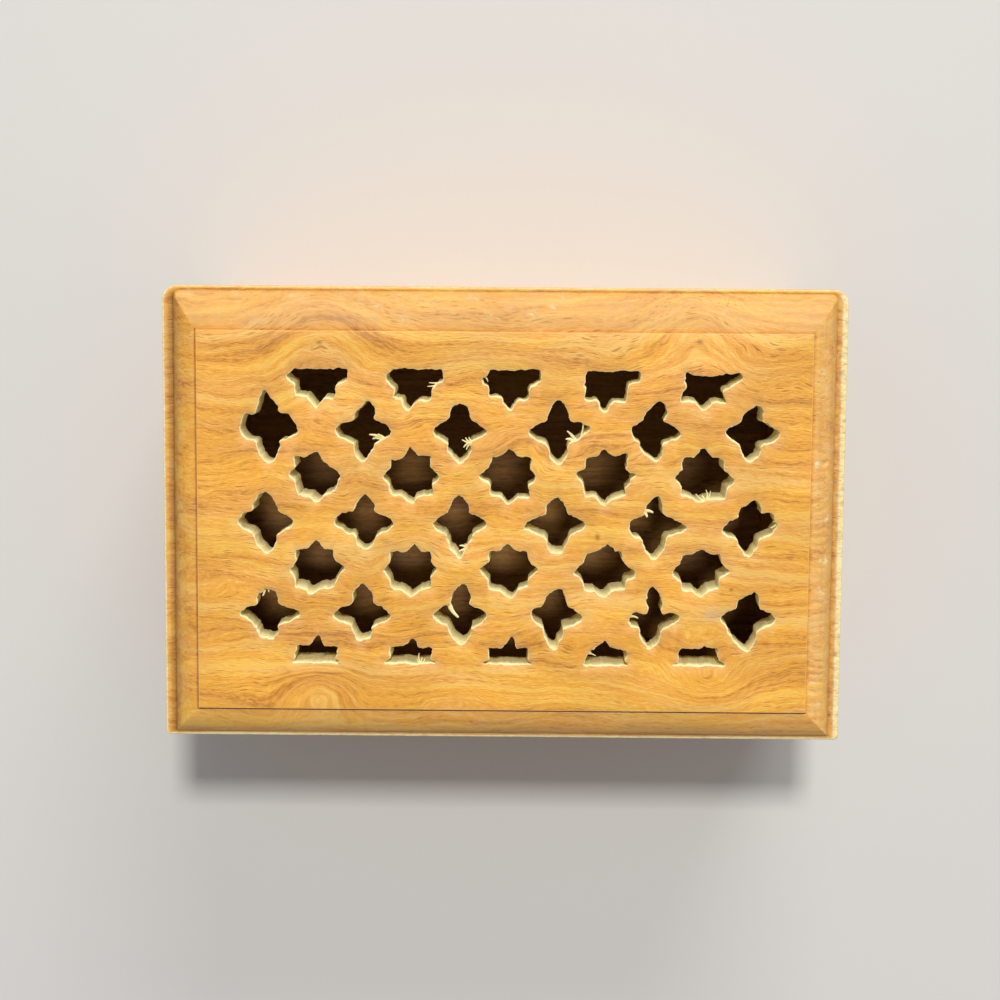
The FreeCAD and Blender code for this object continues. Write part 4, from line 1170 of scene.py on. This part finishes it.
def board_material(node, axes, shift, bare_and_shaded_all):
    """Wood for a wall or the base: finished outside, bare and darkened with painted shade inside, worn at its
    edges.
    """
    material, tree, shader = new_material(node + "_wood")
    spot = millimetres(tree)
    parts = add(tree, "ShaderNodeSeparateXYZ", {0: spot}).outputs
    turned = add(tree, "ShaderNodeCombineXYZ", {to: parts[axis] for to, axis in zip("XYZ", axes)}).outputs[0]
    place = vector(tree, "ADD", turned, shift)
    bare = place_group(tree, timber, {"Place": place, **BARE_IN_PAINTED_SHADE})
    colour, rough, height = bare["Colour"], bare["Roughness"], bare["Height"]
    if not bare_and_shaded_all:
        wood = place_group(tree, timber, {"Place": place, **FINISHED})
        low, high = (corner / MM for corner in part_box(node))
        worn = place_group(tree, board_edge, {"Place": spot, "Low": low, "High": high})["Worn"]
        outside = mixed(tree, calc(tree, "MULTIPLY", worn, EDGE_SHARE), wood["Colour"], EDGE_COLOUR)
        normal = add(tree, "ShaderNodeTexCoord").outputs["Normal"]
        level_spot = vector(tree, "MULTIPLY", spot, (1.0, 1.0, 0.0))
        facing = add(tree, "ShaderNodeVectorMath", {0: level_spot, 1: normal}, operation="DOT_PRODUCT")
        inner = ramp(tree, facing.outputs["Value"], INNER_SOFTNESS, -INNER_SOFTNESS)
        colour = mixed(tree, inner, outside, colour)
        rough = calc(tree, "ADD", wood["Roughness"], calc(tree, "MULTIPLY", inner, BARE_ROUGH), clamp=True)
    feed(tree, shader["Base Color"], colour)
    feed(tree, shader["Roughness"], rough)
    feed(tree, shader["Normal"], bumped(tree, height, GRAIN_BUMP, GRAIN_DEPTH))
    return material


print("board finishes:", len(BARE_IN_PAINTED_SHADE), "and", len(FINISHED), "values")

# %% The five boards
WELD_GAP, BEVEL_STEPS, BEVEL_FROM, BOARD_ROUND = 0.002, 2, 35, 0.22


def soften(item, width):
    """Rounds a solid's edges without touching its mesh."""
    item.modifiers.new("weld", "WELD").merge_threshold = WELD_GAP * MM
    bevel = item.modifiers.new("bevel", "BEVEL")
    bevel.width, bevel.segments = width * MM, BEVEL_STEPS
    bevel.limit_method, bevel.angle_limit = "ANGLE", math.radians(BEVEL_FROM)


# the way of the grain, a shift that gives each board its own wood, and whether it is bare and in painted
# shade all over
BOARDS = {
    "front_wall": (GRAIN_ALONG_X, (11.0, 90.0, 0.0), False),
    "back_wall": (GRAIN_ALONG_X, (-37.0, 210.0, 5.0), False),
    "left_wall": (GRAIN_ALONG_Y, (70.0, 330.0, -8.0), False),
    "right_wall": (GRAIN_ALONG_Y, (-90.0, 470.0, 3.0), False),
    "base_board": (GRAIN_OF_BASE, (33.0, 610.0, 20.0), True),
}
for node, settings in BOARDS.items():
    dress(nodes[node], board_material(node, *settings))
    soften(nodes[node], BOARD_ROUND)
print("boards:", len(BOARDS))

# %% [markdown]
# ## Brass and steel
#
# Small brass hinges go dull and brown where fingers don't reach, and stay bright where they rub. One
# group mixes a bright and a dull colour of metal by noise at two scales, roughens the dull parts and
# adds fine scratches. The hinges, the screws and the steel brads use it with different colours.

# %% Tarnish
tarnish, inside, out = new_group("tarnish", [
    ("Place", "Vector", None), ("Bright", "Color", (0.72, 0.50, 0.19, 1)),
    ("Dull", "Color", (0.30, 0.18, 0.06, 1)), ("Amount", "Float", 0.5),
], [("Colour", "Color"), ("Roughness", "Float"), ("Height", "Float")])
BRIGHT_ROUGH = 0.26
patches = cloud(tarnish, inside["Place"], (0.35, 0.35, 0.35), 4.0, 0.6)
specks = cloud(tarnish, inside["Place"], (3.0, 3.0, 3.0), 3.0, 0.6)
scratches = cloud(tarnish, inside["Place"], (0.7, 9.0, 9.0), 2.0, 0.5)
more = calc(tarnish, "SUBTRACT", inside["Amount"], 0.5)
dulled = calc(tarnish, "ADD", weighted(tarnish, (patches, 0.7), (specks, 0.3)), more)
dulled = ramp(tarnish, dulled, 0.38, 0.66)
rough = calc(tarnish, "ADD", BRIGHT_ROUGH, weighted(tarnish, (dulled, 0.30), (scratches, 0.12)))
feed(tarnish, out["Colour"], mixed(tarnish, dulled, inside["Bright"], inside["Dull"]))
feed(tarnish, out["Roughness"], rough)
feed(tarnish, out["Height"], weighted(tarnish, (specks, 0.5), (scratches, 0.5)))
print("group:", tarnish.name, len(tarnish.nodes), "nodes")

# %% Metal materials
METAL_BUMP, METAL_DEPTH, LEAF_ROUND = 0.25, 0.00008, 0.10


def metal_material(name, bright, dull, amount):
    """A metal with its own bright and dull colours and its own amount of tarnish."""
    material, tree, shader = new_material(name)
    metal = place_group(tree, tarnish, {
        "Place": millimetres(tree), "Bright": bright, "Dull": dull, "Amount": amount})
    feed(tree, shader["Base Color"], metal["Colour"])
    feed(tree, shader["Roughness"], metal["Roughness"])
    feed(tree, shader["Normal"], bumped(tree, metal["Height"], METAL_BUMP, METAL_DEPTH))
    shader["Metallic"].default_value = 1.0
    return material


hinge_brass = metal_material("hinge_brass", (0.74, 0.52, 0.20, 1), (0.34, 0.21, 0.075, 1), 0.50)
screw_brass = metal_material("screw_brass", (0.70, 0.49, 0.20, 1), (0.28, 0.17, 0.06, 1), 0.54)
brad_steel = metal_material("brad_steel", (0.48, 0.47, 0.45, 1), (0.20, 0.12, 0.08, 1), 0.52)
for side in ("left", "right"):
    for piece in ("wall_leaf", "lid_leaf", "pin"):
        dress(nodes[f"{side}_hinge_{piece}"], hinge_brass)
        soften(nodes[f"{side}_hinge_{piece}"], LEAF_ROUND)
print("metals:", hinge_brass.name, screw_brass.name, brad_steel.name)

# %% [markdown]
# ## Brads and screws
#
# The frame's fasteners are faceted to keep the solids small. Their places are read from it, one
# connected island of the mesh for each, and round ones are turned there. A brad has a low domed head
# that stands just proud of a wall. A screw has a countersunk head with a slot, and the slots of
# neighbouring screws don't line up.

# %% Places of the fasteners
def islands(mesh):
    """The low and high corners of each connected piece of a mesh, in millimetres."""
    home, boxes = {}, {}

    def find(name):
        while home.setdefault(name, name) != name:
            name = home[name]
        return name

    spots = [tuple(round(c / MM, 3) for c in vertex.co) for vertex in mesh.vertices]
    for face in mesh.polygons:
        first = find(spots[face.vertices[0]])
        for index in face.vertices[1:]:
            home[find(spots[index])] = first
    for spot in set(spots):
        boxes.setdefault(find(spot), []).append(spot)
    pairs = [(Vector(map(min, zip(*group))), Vector(map(max, zip(*group)))) for group in boxes.values()]
    return sorted(pairs, key=lambda pair: tuple(pair[0]))


def axis_of(low, high, middle):
    """Where a fastener's head is, the way that its shank points, into the middle, and its length."""
    size = high - low
    longest = max(range(3), key=lambda index: size[index])
    centre = (low + high) / 2
    sign = 1.0 if centre[longest] < middle[longest] else -1.0
    head, axis = centre.copy(), Vector((0, 0, 0))
    head[longest] = low[longest] if sign > 0 else high[longest]
    axis[longest] = sign
    return head, axis, size[longest]


print("brads through the corners:", len(islands(nodes["corner_brads"].data)))

# %% Turned fasteners
# radius and depth below the head's top; a depth below zero is counted back from the shank's end
BRAD = [(0.3, 0.0), (0.80, 0.005), (0.97, 0.02), (1.06, 0.05),
        (1.06, 0.5), (0.6, 0.5), (0.6, -1.8), (0.15, -0.01)]
SCREW = [(0.6, 0.0), (1.5, 0.0), (1.66, 0.03), (1.68, 0.08), (0.99, 0.8), (0.99, -2.0), (0.25, -0.01)]
BRAD_SIDES, SCREW_SIDES, HEAD_CREASE, CORNER_PROUD = 24, 32, 40, 0.10
SLOT_WIDTH, SLOT_REACH, SLOT_DEPTH, SLOT_FIRST, SLOT_TURN = 0.5, 3, 0.4, 15, 37
BOX_MIDDLE, ABOVE_LID = (0.0, 0.0, 25.0), (0.0, 0.0, 100.0)


def slot_cutter(head, width, index):
    """A bar across a screw's head, turned further from one screw to the next."""
    corners, faces = block_mesh((-SLOT_REACH, -width / 2, -SLOT_DEPTH), (SLOT_REACH, width / 2, SLOT_DEPTH))
    spin = Matrix.Rotation(math.radians(SLOT_TURN * index + SLOT_FIRST), 3, "Z")
    return [spin @ Vector(corner) + head for corner in corners], faces


def fasteners(node, outline, sides, material, body, middle, proud=0.0, slot_width=0.0):
    """Turned copies of one fastener in place of a node of the frame; proud is how far heads stand out."""
    pieces, slots = [], []
    for index, (low, high) in enumerate(islands(nodes[node].data)):
        head, axis, length = axis_of(low, high, middle)
        depths = [(r, d if d >= 0 else length + proud + d) for r, d in outline]
        pieces.append(turned_mesh(depths, sides, head - axis * proud, axis))
        if slot_width:
            slots.append(slot_cutter(head, slot_width, index))
    item = mesh_object("turned_" + node, *joined(pieces))
    if slots:
        carve(item, [mesh_object(node + "_slots", *joined(slots))])
    smoothed(item, HEAD_CREASE)
    dress(item, material)
    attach(item, body)
    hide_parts(node)
    print(item.name, len(pieces), "pieces")


fasteners("corner_brads", BRAD, BRAD_SIDES, brad_steel, "box", BOX_MIDDLE, CORNER_PROUD)
fasteners("base_brads", BRAD, BRAD_SIDES, brad_steel, "box", BOX_MIDDLE)
fasteners("wall_hinge_screws", SCREW, SCREW_SIDES, screw_brass, "box", BOX_MIDDLE,
          slot_width=SLOT_WIDTH)
fasteners("lid_hinge_screws", SCREW, SCREW_SIDES, screw_brass, "lid", ABOVE_LID,
          slot_width=SLOT_WIDTH)

# %% [markdown]
# ## Floor
#
# A plain pale floor takes the shadow.

# %% Floor
FLOOR_HALF, FLOOR_HEIGHT = 2000.0, -0.02
FLOOR_COLOUR, FLOOR_ROUGH = (0.72, 0.715, 0.70, 1), 0.9
SIGNS = ((-1, -1), (1, -1), (1, 1), (-1, 1))
floor_paint, _, shader = new_material("studio_floor")
shader["Base Color"].default_value = FLOOR_COLOUR
shader["Roughness"].default_value = FLOOR_ROUGH
floor_corners = [(x * FLOOR_HALF, y * FLOOR_HALF, FLOOR_HEIGHT) for x, y in SIGNS]
floor = mesh_object("floor", floor_corners, [(0, 1, 2, 3)])
dress(floor, floor_paint)
print("floor:", 2 * FLOOR_HALF * MM, "m wide")
